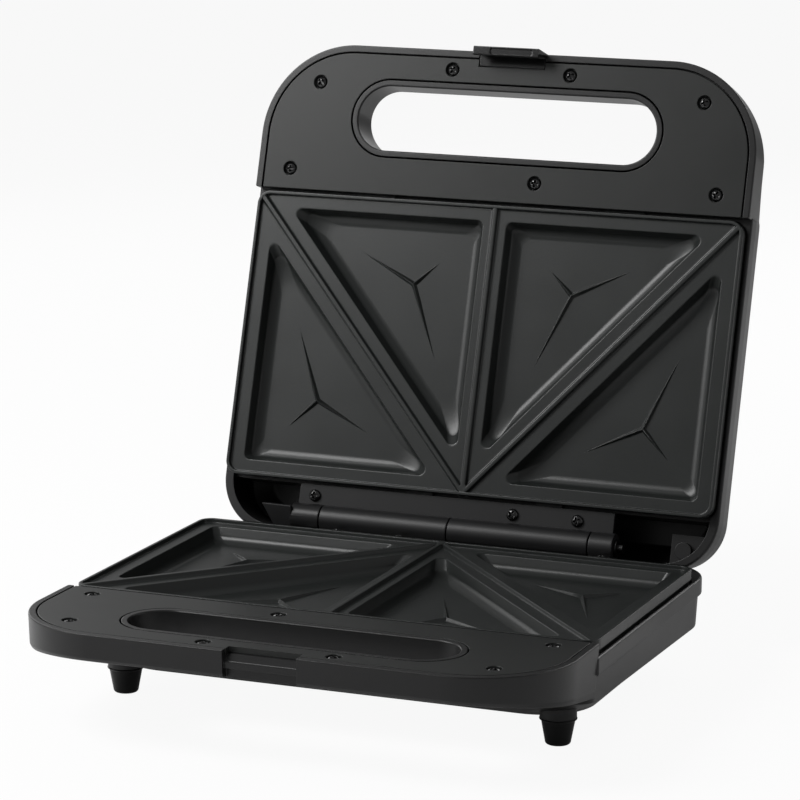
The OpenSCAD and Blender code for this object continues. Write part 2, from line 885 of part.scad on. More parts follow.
// The lever stands a little proud of the handle and clears the catch bar
lever_proud = 0.5;
hook_play = 0.2;
nose_play = 0.3;
lever_y0 = front_y - lever_proud;
lever_y1 = lever_y0 + hook_t;

// Bar across the base's notch that the hook snaps under
module catch_bar() {
    face = lever_y1 + hook_play;
    back = notch_y + over;
    ledge = -cover_t;
    slope_h = 2.1;
    face_bottom = parting_gap + nose_play + nose_h - hook_drop;
    recess = nose_in + 0.7;
    bottom = -handle_edge - 0.5;
    along_x(-notch_w / 2 - over, notch_w / 2 + over, [
        [back, ledge], [notch_y - 1, ledge], [face, ledge - slope_h], [face, face_bottom],
        [face + recess, face_bottom], [face + recess, bottom], [back, bottom]
    ]);
}

module base_shell() {
    color(shell_colour)
        base_place() {
            difference() {
                housing();
                for (s = [-1, 1])
                    for (p = [foot_front, foot_rear])
                        post([s * p.x, p.y], foot_stem_r, floor_depth - over, body_depth + over);
                translate([gland_at.x, back_y - 2 * gland_in, -gland_at.y])
                    rotate([-90, 0, 0])
                        cylinder(r = gland_r - gland_neck + 0.05, h = 4 * gland_in);
            }
            catch_bar();
        }
}

module base_handle_cover() {
    color(cover_colour)
        base_place()
            handle_cover();
}

module base_plate() {
    color(plate_colour)
        base_place()
            plate();
}

module base_heater() {
    color(steel_colour)
        base_place()
            heater();
}

module base_heat_shield() {
    color(steel_colour)
        base_place()
            heat_shield();
}

module base_hinge_leaf() {
    color(metal_colour)
        base_place()
            hinge_leaf(base_knuckles);
}

pin_end_play = 1.2;
pin_past_knuckle = 3.5;
pin_x0 = -leaf_x1 - pin_end_play;
pin_x1 = knuckle_end + pin_past_knuckle;

module hinge_pin() {
    pin_head = 1;
    color(steel_colour)
        base_place()
            translate([pin_x0, axis_y, axis_z])
                rotate([0, 90, 0]) {
                    cylinder(r = pin_r, h = pin_x1 - pin_x0);
                    translate([0, 0, -pin_head])
                        cylinder(r = pin_r + pin_head, h = pin_head + tiny);
                }
}

// Push-on washer that keeps the pin from sliding out
module hinge_pin_clip() {
    clip_w = 1.8;
    clip_t = 0.8;
    clip_gap = 0.3;
    color(steel_colour)
        base_place()
            translate([knuckle_end + clip_gap, axis_y, axis_z])
                rotate([0, 90, 0])
                    difference() {
                        cylinder(r = pin_r + clip_w, h = clip_t);
                        translate([0, 0, -over])
                            cylinder(r = pin_r + pin_play, h = clip_t + 2 * over);
                    }
}

// Bimetal thermostat between the legs of the element
module thermostat() {
    disc_r = 8;
    tab_x = 11;
    tab_l = 8;
    tab_w = 6;
    tab_t = 1;
    color("ivory")
        base_place()
            translate([0, heater_y, -shield_top]) {
                cylinder(r = disc_r, h = 2 * heater_r);
                for (s = [-1, 1])
                    translate([s * tab_x - tab_l / 2, -tab_w / 2, 0])
                        cube([tab_l, tab_w, tab_t]);
            }
}

// Fuse that lies on the shield, with a lead at each end
module thermal_fuse() {
    fuse_x = 24;
    fuse_l = 16;
    fuse_r = 2.4;
    lead_l = 4;
    lead_r = 0.6;
    seat = 0.1;
    color("ivory")
        base_place()
            translate([fuse_x, heater_y, seat + fuse_r - shield_top])
                rotate([0, 90, 0]) {
                    cylinder(r = fuse_r, h = fuse_l);
                    translate([0, 0, -lead_l])
                        cylinder(r = lead_r, h = fuse_l + 2 * lead_l);
                }
}

// Screw terminals that join the cord to the inner wiring
module terminal_block() {
    block_x = 20;
    block_gap = 2.2;
    block_l = 34;
    block_w = 9.6;
    block_h = 9;
    pole_pitch = 11;
    screw_hole_r = 2.2;
    wire_hole_r = 1.4;
    sole_t = 3;
    wire_h = 4.5;
    color("ivory")
        base_place()
            translate([block_x, plate_d + block_gap, -floor_depth])
                difference() {
                    cube([block_l, block_w, block_h]);
                    for (i = [-1, 0, 1])
                        translate([block_l / 2 + i * pole_pitch, 0, 0]) {
                            translate([0, block_w / 2, sole_t])
                                cylinder(r = screw_hole_r, h = block_h);
                            translate([0, -over, wire_h])
                                rotate([-90, 0, 0])
                                    cylinder(r = wire_hole_r, h = block_w + 2 * over);
                        }
                }
}

// Flanged bush that the cord comes out of
module cord_gland() {
    seat = gland_in - wall_in(gland_at.y - gland_r) + 0.05;
    collar_end = 7.5;
    end = gland_in + gland_out;
    neck_r = gland_r - gland_neck;
    color(rubber_colour)
        base_place()
            translate([gland_at.x, back_y - gland_in, -gland_at.y])
                rotate([-90, 0, 0])
                    rotate_extrude()
                        polygon([
                            [cord_hole_r, 0], [neck_r, 0], [neck_r, seat], [gland_r, seat],
                            [gland_r - 0.5, collar_end], [cord_hole_r + 1, end],
                            [cord_hole_r, end]
                        ]);
}

// Tapered foot with a collar and a stem that snaps through the floor
module foot(side, p) {
    h = rim_height - body_depth;
    collar_h = 0.8;
    collar_w = 0.8;
    edge_r = 1.2;
    stem_r = foot_stem_r - 0.05;
    barb_r = foot_stem_r + 0.8;
    tip_r = foot_stem_r - 0.6;
    snap_z = h + wall + 0.1;
    tip_z = snap_z + 2.4;
    color(rubber_colour)
        translate([side * p.x, p.y - origin_y, 0])
            rotate_extrude()
                polygon(concat(
                    [[0, 0]],
                    arc([foot_sole_r - edge_r, edge_r], edge_r, -90, 0, 5),
                    [
                        [foot_top_r, h - collar_h], [foot_top_r + collar_w, h - collar_h],
                        [foot_top_r + collar_w, h], [stem_r, h], [stem_r, snap_z],
                        [barb_r, snap_z], [tip_r, tip_z], [0, tip_z]
                    ]
                ));
}

// --- Lid --------------------------------------------------------------------

lens_x = 10;
lens_y = 16;
power_place = [-lens_x, lens_y];
ready_place = [lens_x, lens_y];
latch_pin_in = 3.8;
latch_pin_depth = 4.6;
pin_place = [front_y + latch_pin_in, -latch_pin_depth];
latch_pin_hl = notch_w / 2 + wall - 0.2;

module lid_shell() {
    color(shell_colour)
        lid_place()
            difference() {
                housing();
                for (p = [power_place, ready_place])
                    post(p, lens_r, floor_depth - over, body_depth + over);
                translate([-latch_pin_hl, pin_place.x, pin_place.y])
                    rotate([0, 90, 0])
                        cylinder(r = latch_pin_r + pin_play, h = 2 * latch_pin_hl);
            }
}

module lid_handle_cover() {
    color(cover_colour)
        lid_place()
            handle_cover();
}

module lid_plate() {
    color(plate_colour)
        lid_place()
            plate();
}

module lid_heater() {
    color(steel_colour)
        lid_place()
            heater();
}

module lid_heat_shield() {
    color(steel_colour)
        lid_place()
            heat_shield();
}

module lid_hinge_leaf() {
    color(metal_colour)
        lid_place() {
            hinge_leaf(lid_knuckles);
            as_open()
                lid_gusset();
        }
}

// Domed lens pushed into the lid from inside up to its flange
module lens(p) {
    flange_w = 1;
    flange_z = -wall - 0.1;
    flange_t = 1.1;
    r = lens_r - 0.1;
    dome_h = 1.05;
    lid_place()
        translate([p.x, p.y, -body_depth])
            rotate([180, 0, 0])
                rotate_extrude()
                    polygon([
                        [0, flange_z - flange_t], [lens_r + flange_w, flange_z - flange_t],
                        [lens_r + flange_w, flange_z], [r, flange_z],
                        [r, 0.1], [r - 0.5, 0.6], [r / 2, dome_h - 0.1], [0, dome_h]
                    ]);
}

// Small lamp behind its lens
module lamp(p) {
    r = 2.2;
    l = 8;
    top = floor_depth - 1.3;
    lid_place()
        post(p, r, top - l, top);
}

module power_lens() {
    color("darkred")
        lens(power_place);
}

module ready_lens() {
    color("darkgreen")
        lens(ready_place);
}

module power_lamp() {
    color("orange")
        lamp(power_place);
}

module ready_lamp() {
    color("orange")
        lamp(ready_place);
}

module latch_pin() {
    color(steel_colour)
        lid_place()
            translate([-latch_pin_hl + 0.1, pin_place.x, pin_place.y])
                rotate([0, 90, 0])
                    cylinder(r = latch_pin_r, h = 2 * latch_pin_hl - 0.2);
}

spring_turns = 5;
spring_wire = 0.35;
spring_pitch = 1.2;
spring_r = latch_pin_r + 0.75;
spring_sides = 6;
spring_steps = 10;
spring_room_w = spring_turns * spring_pitch + 2 * spring_wire + 1;
spring_room_r = spring_r + spring_wire + 0.2;

// Torsion spring wound on the lever's pin
function coil(i) =
    let (a = 360 * i / spring_steps)
    [spring_pitch * i / spring_steps - spring_turns * spring_pitch / 2,
        spring_r * cos(a), spring_r * sin(a)];
function coil_ring(i) =
    let (a = 360 * i / spring_steps, c = coil(i))
    [for (j = [0:spring_sides - 1])
        let (b = -360 * j / spring_sides)
        c + spring_wire * [cos(b), sin(b) * cos(a), sin(b) * sin(a)]];

module latch_spring() {
    n = spring_turns * spring_steps;
    s = spring_sides;
    color(steel_colour)
        lid_place()
            translate([0, pin_place.x, pin_place.y])
                polyhedron(
                    points = [for (i = [0:n]) each coil_ring(i)],
                    faces = concat(
                        [[for (j = [s - 1:-1:0]) j]],
                        [[for (j = [0:s - 1]) n * s + j]],
                        [for (i = [0:n - 1]) for (j = [0:s - 1])
                            let (a = i * s + j, b = i * s + (j + 1) % s)
                            each [[a, b, b + s], [a, b + s, a + s]]]
                    )
                );
}

// Hooked lever that turns on its pin in the lid's notch
module latch_lever() {
    hw = notch_w / 2 - lever_gap;
    back = pin_place.x + 2.1;
    nose_y = lever_y1 + nose_in;
    lead = 0.8;
    top = -0.3;
    bottom = -8.6;
    bevel = 1.4;
    panel_l = 20;
    panel_w = 2.4;
    panel_d = 0.6;
    panel_x = -12;
    color([0.04, 0.04, 0.045])
        lid_place()
            difference() {
                along_x(-hw, hw, [
                    [lever_y0 + lead, hook_drop], [nose_y - lead, hook_drop],
                    [nose_y, hook_drop - lead], [nose_y, hook_drop - nose_h],
                    [lever_y1, hook_drop - nose_h], [lever_y1, top], [back - lead, top],
                    [back, top - lead], [back, bottom + bevel], [back - bevel, bottom],
                    [lever_y0 + bevel, bottom], [lever_y0, bottom + bevel],
                    [lever_y0, hook_drop - lead]
                ]);
                translate([-hw - over, pin_place.x, pin_place.y])
                    rotate([0, 90, 0])
                        cylinder(r = latch_pin_r + pin_play, h = 2 * (hw + over));
                // Room for the spring
                translate([-spring_room_w / 2, pin_place.x - spring_room_r,
                    pin_place.y - spring_room_r])
                    cube([spring_room_w, 4 * spring_room_r, 2 * spring_room_r]);
                // Shallow panel sunk behind the hook
                translate([panel_x, lever_y1 + lead, top - panel_d])
                    cube([panel_l, panel_w, panel_d + over]);
            }
}

base_shell();
base_handle_cover();
base_plate();
base_heater();
base_heat_shield();
base_hinge_leaf();
hinge_pin();
hinge_pin_clip();
thermostat();
thermal_fuse();
terminal_block();
cord_gland();
foot(-1, foot_front);  // foot_front_left
foot(1, foot_front);  // foot_front_right
foot(-1, foot_rear);  // foot_rear_left
foot(1, foot_rear);  // foot_rear_right
lid_shell();
lid_handle_cover();
lid_plate();
lid_heater();
lid_heat_shield();
lid_hinge_leaf();
power_lens();
ready_lens();
power_lamp();
ready_lamp();
latch_pin();
latch_spring();
latch_lever();
for (i = [1:7])
    base_place() cover_screw(i);
for (i = [1:7])
    lid_place() cover_screw(i);
for (i = [1:4])
    base_place() shield_screw(i);
for (i = [1:4])
    lid_place() shield_screw(i);
for (i = [1:3])
    base_place() hinge_screw(i);
for (i = [1:3])
    lid_place() hinge_screw(i);
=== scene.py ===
import json
import math

import bmesh
import bpy
from mathutils import Matrix, Vector


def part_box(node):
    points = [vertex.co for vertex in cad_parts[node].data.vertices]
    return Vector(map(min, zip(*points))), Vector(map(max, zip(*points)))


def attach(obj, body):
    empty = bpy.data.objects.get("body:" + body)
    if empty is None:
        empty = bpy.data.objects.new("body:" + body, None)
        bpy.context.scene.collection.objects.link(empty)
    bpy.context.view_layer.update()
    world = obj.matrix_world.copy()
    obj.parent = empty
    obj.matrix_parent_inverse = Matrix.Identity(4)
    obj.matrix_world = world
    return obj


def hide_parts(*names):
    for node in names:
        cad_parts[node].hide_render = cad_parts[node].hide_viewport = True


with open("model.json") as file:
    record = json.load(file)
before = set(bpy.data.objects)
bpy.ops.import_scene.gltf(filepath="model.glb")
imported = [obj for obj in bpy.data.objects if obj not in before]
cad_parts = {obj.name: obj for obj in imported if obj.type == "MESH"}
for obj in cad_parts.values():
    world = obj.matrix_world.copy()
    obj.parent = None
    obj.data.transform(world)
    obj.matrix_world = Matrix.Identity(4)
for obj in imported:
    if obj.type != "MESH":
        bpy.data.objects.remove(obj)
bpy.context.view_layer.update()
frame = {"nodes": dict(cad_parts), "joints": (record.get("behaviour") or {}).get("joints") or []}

# --- Housings -----------------------------------------------------------------
# Base and lid are one moulding in black heat-proof plastic, the lid's turned over. Each
# is a dish with a lip round the plate, a flat handle with a grip slot, and a notch for
# the catch.

# Sizes are in millimetres, in the half's own frame: rim plane at z = 0, the half
# hanging below it, plate front edge at y = 0
MM = 0.001
hinge = next(joint for joint in frame["joints"] if joint["name"] == "lid_hinge")
open_angle = math.radians(hinge["range_deg"][1])
axis_at = Vector(hinge["pos_m"]) / MM
shell_low, shell_high = (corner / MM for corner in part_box("base_shell"))
plate_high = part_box("base_plate")[1] / MM

rim_z = shell_high.z
half_w = shell_high.x
plate_hw = plate_high.x - 0.35
plate_d = 127.8
axis_y = plate_d + 16.3
axis_z = axis_at.z - rim_z
origin_y = axis_y - axis_at.y
front_y = shell_low.y + origin_y
back_y = plate_d + 24.2
body_depth = rim_z - shell_low.z

stand_base = Matrix.Scale(MM, 4) @ Matrix.Translation((0, -origin_y, rim_z))
stand_lid = (
    Matrix.Scale(MM, 4)
    @ Matrix.Translation(axis_at)
    @ Matrix.Rotation(-open_angle, 4, "X")
    @ Matrix.Translation((0, -axis_y, axis_z))
    @ Matrix.Rotation(math.pi, 4, "Y")
)
halves = (("base", stand_base), ("lid", stand_lid))

wall = 2.5
lip_top, lip_bottom = 5.7, 12.6
ledge_depth = 9.5
flank_depth, slope_depth = 24.5, 32.5
handle_corner_r, hinge_corner_r = 41.5, 24
handle_end = -1.5
handle_wall, handle_edge, handle_root, root_reach = 7.0, 11.3, 20.8, 13
handle_slope = (handle_root - handle_edge) / (-front_y - root_reach)
rim_band, cover_ledge, cover_t, seam = 3, 1.6, 2.5, 0.7
slot_l, slot_h, slot_y, collar_t = 138.8, 28.9, -35.6, 2.6
notch_w, notch_in = 31, 7
plate_gap, plate_r = 0.4, 6
OVER = 1


def arc(x, y, r, start, end, steps):
    """Points on an arc, angles in degrees."""
    turns = [math.radians(start + (end - start) * i / steps) for i in range(steps + 1)]
    return [(x + r * math.cos(a), y + r * math.sin(a)) for a in turns]


def outline(hw, y0, y1, front_r, back_r, steps=20):
    """Four-sided outline with its own corner radius at the front and at the back."""
    return (
        arc(hw - front_r, y0 + front_r, front_r, -90, 0, steps)
        + arc(hw - back_r, y1 - back_r, back_r, 0, 90, steps)
        + arc(back_r - hw, y1 - back_r, back_r, 90, 180, steps)
        + arc(front_r - hw, y0 + front_r, front_r, 180, 270, steps)
    )


def level(points, depth, slope=0, y0=0):
    """Lays an outline at a depth, which may grow towards the back."""
    return [(x, y, -(depth + slope * (y - y0))) for x, y in points]


def long_hole(length, height, grow=0, steps=20):
    """Outline with round ends, round the origin of the grip slot."""
    h = height / 2 + grow
    return outline(length / 2 + grow, slot_y - h, slot_y + h, h, h, steps)


def rounded(points, radii, steps=5, closed=False):
    """Line of two numbers a point, with its corners rounded."""
    if closed:
        points = [points[-1]] + list(points) + [points[0]]
    line = [] if closed else [points[0]]
    for before, corner, after, r in zip(points, points[1:], points[2:], radii):
        a, c, b = Vector(before), Vector(corner), Vector(after)
        to_a, to_b = (a - c), (b - c)
        r = min(r, to_a.length / 2, to_b.length / 2)
        start, end = c + to_a.normalized() * r, c + to_b.normalized() * r
        for i in range(steps + 1):
            t = i / steps
            line.append(tuple(start.lerp(c, t).lerp(c.lerp(end, t), t)))
    return line if closed else line + [points[-1]]


def solid(name, vertices, faces):
    """Mesh object, with its faces turned outwards."""
    mesh = bpy.data.meshes.new(name)
    mesh.from_pydata(vertices, [], faces)
    shape = bmesh.new()
    shape.from_mesh(mesh)
    bmesh.ops.remove_doubles(shape, verts=shape.verts, dist=1e-5)
    bmesh.ops.recalc_face_normals(shape, faces=shape.faces)
    shape.to_mesh(mesh)
    shape.free()
    piece = bpy.data.objects.new(name, mesh)
    bpy.context.scene.collection.objects.link(piece)
    return piece


def loft(name, rings, closed=False):
    """Solid through equal rings; closed joins the last ring to the first."""
    n = len(rings[0])
    count = len(rings)
    faces = []
    for j in range(count if closed else count - 1):
        k = (j + 1) % count
        faces += [(j * n + i, j * n + (i + 1) % n, k * n + (i + 1) % n, k * n + i) for i in range(n)]
    if not closed:
        faces += [tuple(range(n - 1, -1, -1)), tuple((count - 1) * n + i for i in range(n))]
    return solid(name, [point for ring in rings for point in ring], faces)


def block(name, low, high):
    """Box between two corners."""
    points = [(low[0], low[1]), (high[0], low[1]), (high[0], high[1]), (low[0], high[1])]
    return loft(name, [level(points, -low[2]), level(points, -high[2])])


def along_x(name, x0, x1, section):
    """Solid along X from its section in y and z."""
    return loft(name, [[(x, y, z) for y, z in section] for x in (x0, x1)])


def settle(piece):
    """Turns a piece and its modifiers into a plain mesh."""
    seen = piece.evaluated_get(bpy.context.evaluated_depsgraph_get())
    mesh = bpy.data.meshes.new_from_object(seen)
    piece.modifiers.clear()
    piece.data = mesh
    return piece


def carve(piece, tools, operation="DIFFERENCE"):
    """Cuts, joins or keeps what the tools share with a piece, then drops the tools."""
    for tool in tools:
        step = piece.modifiers.new(operation, "BOOLEAN")
        step.operation, step.solver, step.object = operation, "EXACT", tool
    settle(piece)
    for tool in tools:
        bpy.data.objects.remove(tool)
    return piece


def fuse(piece, tools):
    return carve(piece, tools, "UNION")


def post(name, x, y, r, top, bottom, flare=0, steps=24):
    """Upright round pin or hole between two depths, opened out at its top by flare."""
    radii = [(r, bottom), (r, top + flare)]
    if flare:
        turns = [math.radians(a) for a in (0, 30, 60, 90)]
        opened = [(r + flare * (1 - math.cos(a)), top + flare * (1 - math.sin(a))) for a in turns]
        radii = [(r, bottom)] + opened + [(r + flare, top - OVER)]
    rings = [[(px, py, -d) for px, py in arc(x, y, q, 0, 360 - 360 / steps, steps - 1)] for q, d in radii]
    return loft(name, rings)


lip_proud, draft = 1, math.tan(math.radians(3.9))
belly_in, foot_in = 8.3, 3.5


def wall_in(depth):
    """How far the wall of the dish has come in at a depth."""
    if depth <= flank_depth:
        return lip_proud + (depth - lip_top) * draft
    if depth <= slope_depth:
        return wall_in(flank_depth) + belly_in * (depth - flank_depth) / (slope_depth - flank_depth)
    return wall_in(slope_depth) + foot_in * (depth - slope_depth) / (body_depth - slope_depth)


belly_y = 8
corner_under, corner_floor = 3, 22
flank_swell, swell_from, flank_fall = 0.4, 100, 0.019


def dish_front(depth):
    """Front face of the dish, which slopes back under the handle."""
    if depth < handle_root:
        return -root_reach + (handle_root - depth) * 0.7
    return -root_reach + (depth - handle_root) * (belly_y + root_reach) / (body_depth - handle_root)


def dish_corner(depth):
    """Plan radius of the front corners, small under the handle and wide at the floor."""
    share = min(1, max(0, (depth - handle_root) / (slope_depth - handle_root)))
    return corner_under + (corner_floor - corner_under) * share


def dish_ring(depth, inset, thick=0):
    """Outline of the dish at a depth, drawn in by its wall's thickness."""
    points = outline(half_w - inset - thick, dish_front(depth) + 1.4 * thick, back_y - inset - thick,
                     dish_corner(depth), hinge_corner_r - inset - thick)
    # At the front the side walls come out until they are level with the handle's
    near = [min(1, max(0, (swell_from - y) / swell_from)) for x, y in points]
    points = [(x * (1 + flank_swell / half_w * n), y) for (x, y), n in zip(points, near)]
    # The flank's lower edge falls towards the back
    fall = min((depth - lip_bottom) / (flank_depth - lip_bottom),
               (slope_depth - depth) / (slope_depth - flank_depth))
    return level(points, depth, flank_fall * min(1, max(0, fall)), 0)


def dish():
    """Outside of the dish, with a fine groove under the lip."""
    groove, groove_in = lip_bottom + 0.9, 1.1
    corners = [(wall_in(lip_top), lip_top), (wall_in(lip_bottom), lip_bottom - 0.2),
               (wall_in(lip_bottom) + groove_in, lip_bottom - 0.1),
               (wall_in(groove) + groove_in, groove - 0.1),
               (wall_in(groove), groove), (wall_in(flank_depth), flank_depth),
               (wall_in(slope_depth), slope_depth), (wall_in(body_depth) - 1.5, body_depth),
               (wall_in(body_depth) + 6, body_depth)]
    profile = rounded(corners, (0.02, 0.02, 0.02, 0.05, 0.8, 1.6, 2.5), 6)
    rings = [dish_ring(depth, inset) for inset, depth in profile]
    return loft("dish", rings)


def dish_cavity():
    """Room inside the dish, a wall's thickness in from its outside."""
    top, top_in = ledge_depth - 6, 3.5
    floor_in = 13.3
    first = outline(half_w - 4.1, OVER, back_y - top_in, 3, hinge_corner_r - top_in)
    last = outline(half_w - floor_in, dish_front(slope_depth) + 3.5, back_y - floor_in, 9.8, 12.2)
    rings = [level(first, top)]
    rings += [dish_ring(d, wall_in(d), wall) for d in (handle_root, flank_depth, slope_depth - 1)]
    rings.append(level(last, slope_depth))
    return loft("dish_cavity", rings)


def handle_ring(inset, depth, share):
    """Outline of the handle, whose lower edge is drawn in to the dish at the back."""
    points = outline(half_w - inset, front_y + inset, handle_end, handle_corner_r - inset, 0.6, 28)
    blend_from, blend_over = -32, 28
    ring = []
    for x, y, z in level(points, depth, share * handle_slope, front_y + inset):
        near = min(1, max(0, (y - blend_from) / blend_over))
        flush = max(0, wall_in(max(-z, lip_top)) - flank_swell - inset)
        extra = flush * near * near * (3 - 2 * near)
        extra *= min(1, max(0, (depth - 4) / 4))
        limit = half_w - inset - extra
        ring.append((max(-limit, min(limit, x)), y, z))
    return ring


def handle():
    """Outside of the handle, with a chamfer under its edge."""
    profile = rounded([(1.3, 0), (0, 0), (0.45, handle_edge - 1.7), (1.6, handle_edge),
                       (6.5, handle_edge + 0.2), (20, handle_edge + 2.6)], (1.3, 0.5, 0.8, 3), 6)
    return loft("handle", [
        handle_ring(inset, depth, min(1, depth / handle_edge)) for inset, depth in profile])


def handle_cavity():
    """Room under the handle's cover."""
    inset = rim_band + cover_ledge
    section = ((inset, OVER, 0), (inset + 0.4, handle_wall - 0.8, 0.7),
               (9, handle_edge - 1.9, 1), (20, handle_edge + 1.1, 0.85))
    return loft("handle_cavity", [
        level(outline(half_w - i, front_y + i, handle_end - wall, handle_corner_r - i, 0.6),
              d, share * handle_slope, front_y + i) for i, d, share in section])


def lip():
    """Raised band round the sides and the back, with rounded edges."""
    r = 0.9
    rings = []
    for depth, inset in ((lip_top + 0.05, 2.9), (lip_top, r), (lip_top + 0.26, 0.26),
                         (lip_top + r, 0), (lip_bottom - 0.3, 0), (lip_bottom - 0.1, 0.07),
                         (lip_bottom, 0.3), (lip_bottom - 0.05, 2.9)):
        points = outline(half_w - inset, handle_end - 1.5, back_y - inset, 1.4, hinge_corner_r - inset)
        rings.append(level(points, depth))
    return loft("lip", rings)


cover_screws = ((-89.45, -50.19), (89.45, -50.19), (-99.17, -10.55), (99.17, -10.55),
                (-27.42, -58.87), (27.42, -58.87), (-16.7, -10.55))
shield_screws = tuple((x, y) for x in (-88, 88) for y in (18, plate_d - 18))
leaf_screws = tuple((x, plate_d + 6.2) for x in (-53, -23.3, 69.5))
corner_post = (-99.5, plate_d + 14.2)
shield_top = 17.8
leaf_back = 4.8


def inner_ribs():
    """Walls, posts and ribs that stand up inside the moulding."""
    corner_top, boss_r = 11.3, 3.6
    ribs = [
        block("front_wall", (-half_w, handle_end - wall, -body_depth), (half_w, handle_end, -cover_t)),
        block("front_step", (-half_w, handle_end - 0.01, -body_depth), (half_w, 1.6, -ledge_depth)),
        block("back_rib", (-half_w, plate_d - 2.4, -body_depth), (half_w, plate_d + 1, -ledge_depth)),
        loft("collar", [level(long_hole(slot_l, slot_h, collar_t), d) for d in (0, body_depth)]),
        post("corner_post", *corner_post, 3.7, 8.8, body_depth),
        block("notch_wall", (-notch_w / 2 - wall, front_y - OVER, -body_depth),
              (notch_w / 2 + wall, front_y + notch_in + 2, -cover_t)),
        block("corner_shelf", (-half_w, corner_post[1] - 7, -body_depth),
              (-93.5, corner_post[1] + 17, -corner_top)),
    ]
    for x, y in cover_screws:
        ribs.append(post("cover_boss", x, y, boss_r, cover_t, body_depth))
    for x, y in shield_screws:
        ribs.append(post("shield_boss", x, y, boss_r, shield_top + 0.8, body_depth))
    for x, y in leaf_screws:
        ribs.append(post("leaf_boss", x, y, boss_r, leaf_back, body_depth))
    return ribs


def slot_tool(mouth=0.7):
    """Grip slot with its edges rounded over at the rim and at the underside."""
    turns = [math.radians(a) for a in (90, 60, 30, 0)]
    edge = [(mouth * (1 - math.cos(a)), mouth * (1 - math.sin(a))) for a in turns]
    below = handle_edge + 1.2
    rings = [level(long_hole(slot_l, slot_h, mouth), -OVER)]
    rings += [level(long_hole(slot_l, slot_h, grow), d) for grow, d in edge]
    rings += [level(long_hole(slot_l, slot_h, grow), below - d, handle_slope, front_y)
              for grow, d in reversed(edge)]
    rings.append(level(long_hole(slot_l, slot_h, mouth), below + 8, handle_slope, front_y))
    return loft("slot", rings)


def housing():
    """One half's moulding, with everything but its own holes."""
    tools = fuse(dish_cavity(), [handle_cavity()])
    for rib in inner_ribs():
        carve(tools, [rib])
    shell = fuse(dish(), [handle(), lip()])
    carve(shell, [tools])
    collar = loft("collar", [level(long_hole(slot_l, slot_h, collar_t), d)
                             for d in (0, 0.3, cover_t + OVER)])
    seat = outline(half_w - rim_band, front_y + rim_band, OVER, handle_corner_r - rim_band, 0.6, 28)
    recess = loft("recess", [level(seat, d) for d in (-OVER, cover_t)])
    mouth_r = plate_r + plate_gap
    plate_room = outline(plate_hw + plate_gap, -plate_gap, plate_d + plate_gap, mouth_r, mouth_r)
    opening = loft("opening", [level(plate_room, d) for d in (-OVER, ledge_depth)])
    notch = block("notch", (-notch_w / 2, front_y - OVER, -body_depth),
                  (notch_w / 2, front_y + notch_in, OVER))
    carve(shell, [recess, opening])
    fuse(shell, [collar])
    carve(shell, [slot_tool(), notch])
    pilot_r = 1.5
    holes = [post("hole", x, y, pilot_r, cover_t - OVER, cover_t + 7) for x, y in cover_screws]
    holes += [post("hole", x, y, pilot_r, 3, leaf_back + 9) for x, y in leaf_screws]
    holes += [post("hole", x, y, pilot_r, shield_top, slope_depth - 1) for x, y in shield_screws]
    carve(shell, holes)
    # The back is cut where the two halves meet on the stop
    reach = 60
    stop = block("stop", (-half_w * 2, 0, -0.15), (half_w * 2, reach, reach))
    stop.data.transform(Matrix.Translation((0, axis_y, axis_z)) @ Matrix.Rotation(-open_angle / 2, 4, "X"))
    carve(shell, [stop])
    return shell


def shade(piece, angle=32):
    """Smooth shading that keeps flat faces flat and sharp edges sharp."""
    piece.data.shade_smooth()
    piece.data.set_sharp_from_angle(angle=math.radians(angle))
    even = piece.modifiers.new("even", "WEIGHTED_NORMAL")
    even.keep_sharp, even.weight, even.mode = True, 80, "FACE_AREA"
    return settle(piece)


def place(piece, name, body, stand, nodes, material):
    """Sets a finished piece where it belongs and ties it to its body and nodes."""
    piece.name = name
    piece.data.name = name
    shade(piece)
    piece.data.transform(stand)
    if stand.determinant() < 0:
        piece.data.flip_normals()
    piece.data.materials.clear()
    piece.data.materials.append(material)
    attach(piece, body)
    if nodes:
        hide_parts(*nodes)
    return piece


def copy_of(piece):
    twin = piece.copy()
    twin.data = piece.data.copy()
    bpy.context.scene.collection.objects.link(twin)
    return twin


class Wire:
    """An output in a material. Arithmetic on it adds Math nodes."""

    def __init__(self, tree, socket=None):
        self.tree, self.socket = tree, socket

    def node(self, kind, settings=None, inputs=None, output=0):
        """Adds a node: its settings first, then the values or wires of its sockets."""
        made = self.tree.nodes.new(kind if "Node" in kind else "ShaderNode" + kind)
        for key, value in (settings or {}).items():
            setattr(made, key, value)
        for key, value in (inputs or {}).items():
            if isinstance(value, Wire):
                self.tree.links.new(value.socket, made.inputs[key])
            else:
                made.inputs[key].default_value = value
        return Wire(self.tree, made.outputs[output])

    def math(self, operation, first, second=0.0):
        return self.node("Math", {"operation": operation}, {0: first, 1: second})

    def __add__(self, other):
        return self.math("ADD", self, other)

    def __mul__(self, other):
        return self.math("MULTIPLY", self, other)

    __radd__, __rmul__ = __add__, __mul__


def finish_of(name):
    """New empty material: its start wire and its output socket."""
    made = bpy.data.materials.new(name)
    made.use_nodes = True
    made.node_tree.nodes.clear()
    out = made.node_tree.nodes.new("ShaderNodeOutputMaterial")
    return made, Wire(made.node_tree), out.inputs["Surface"]


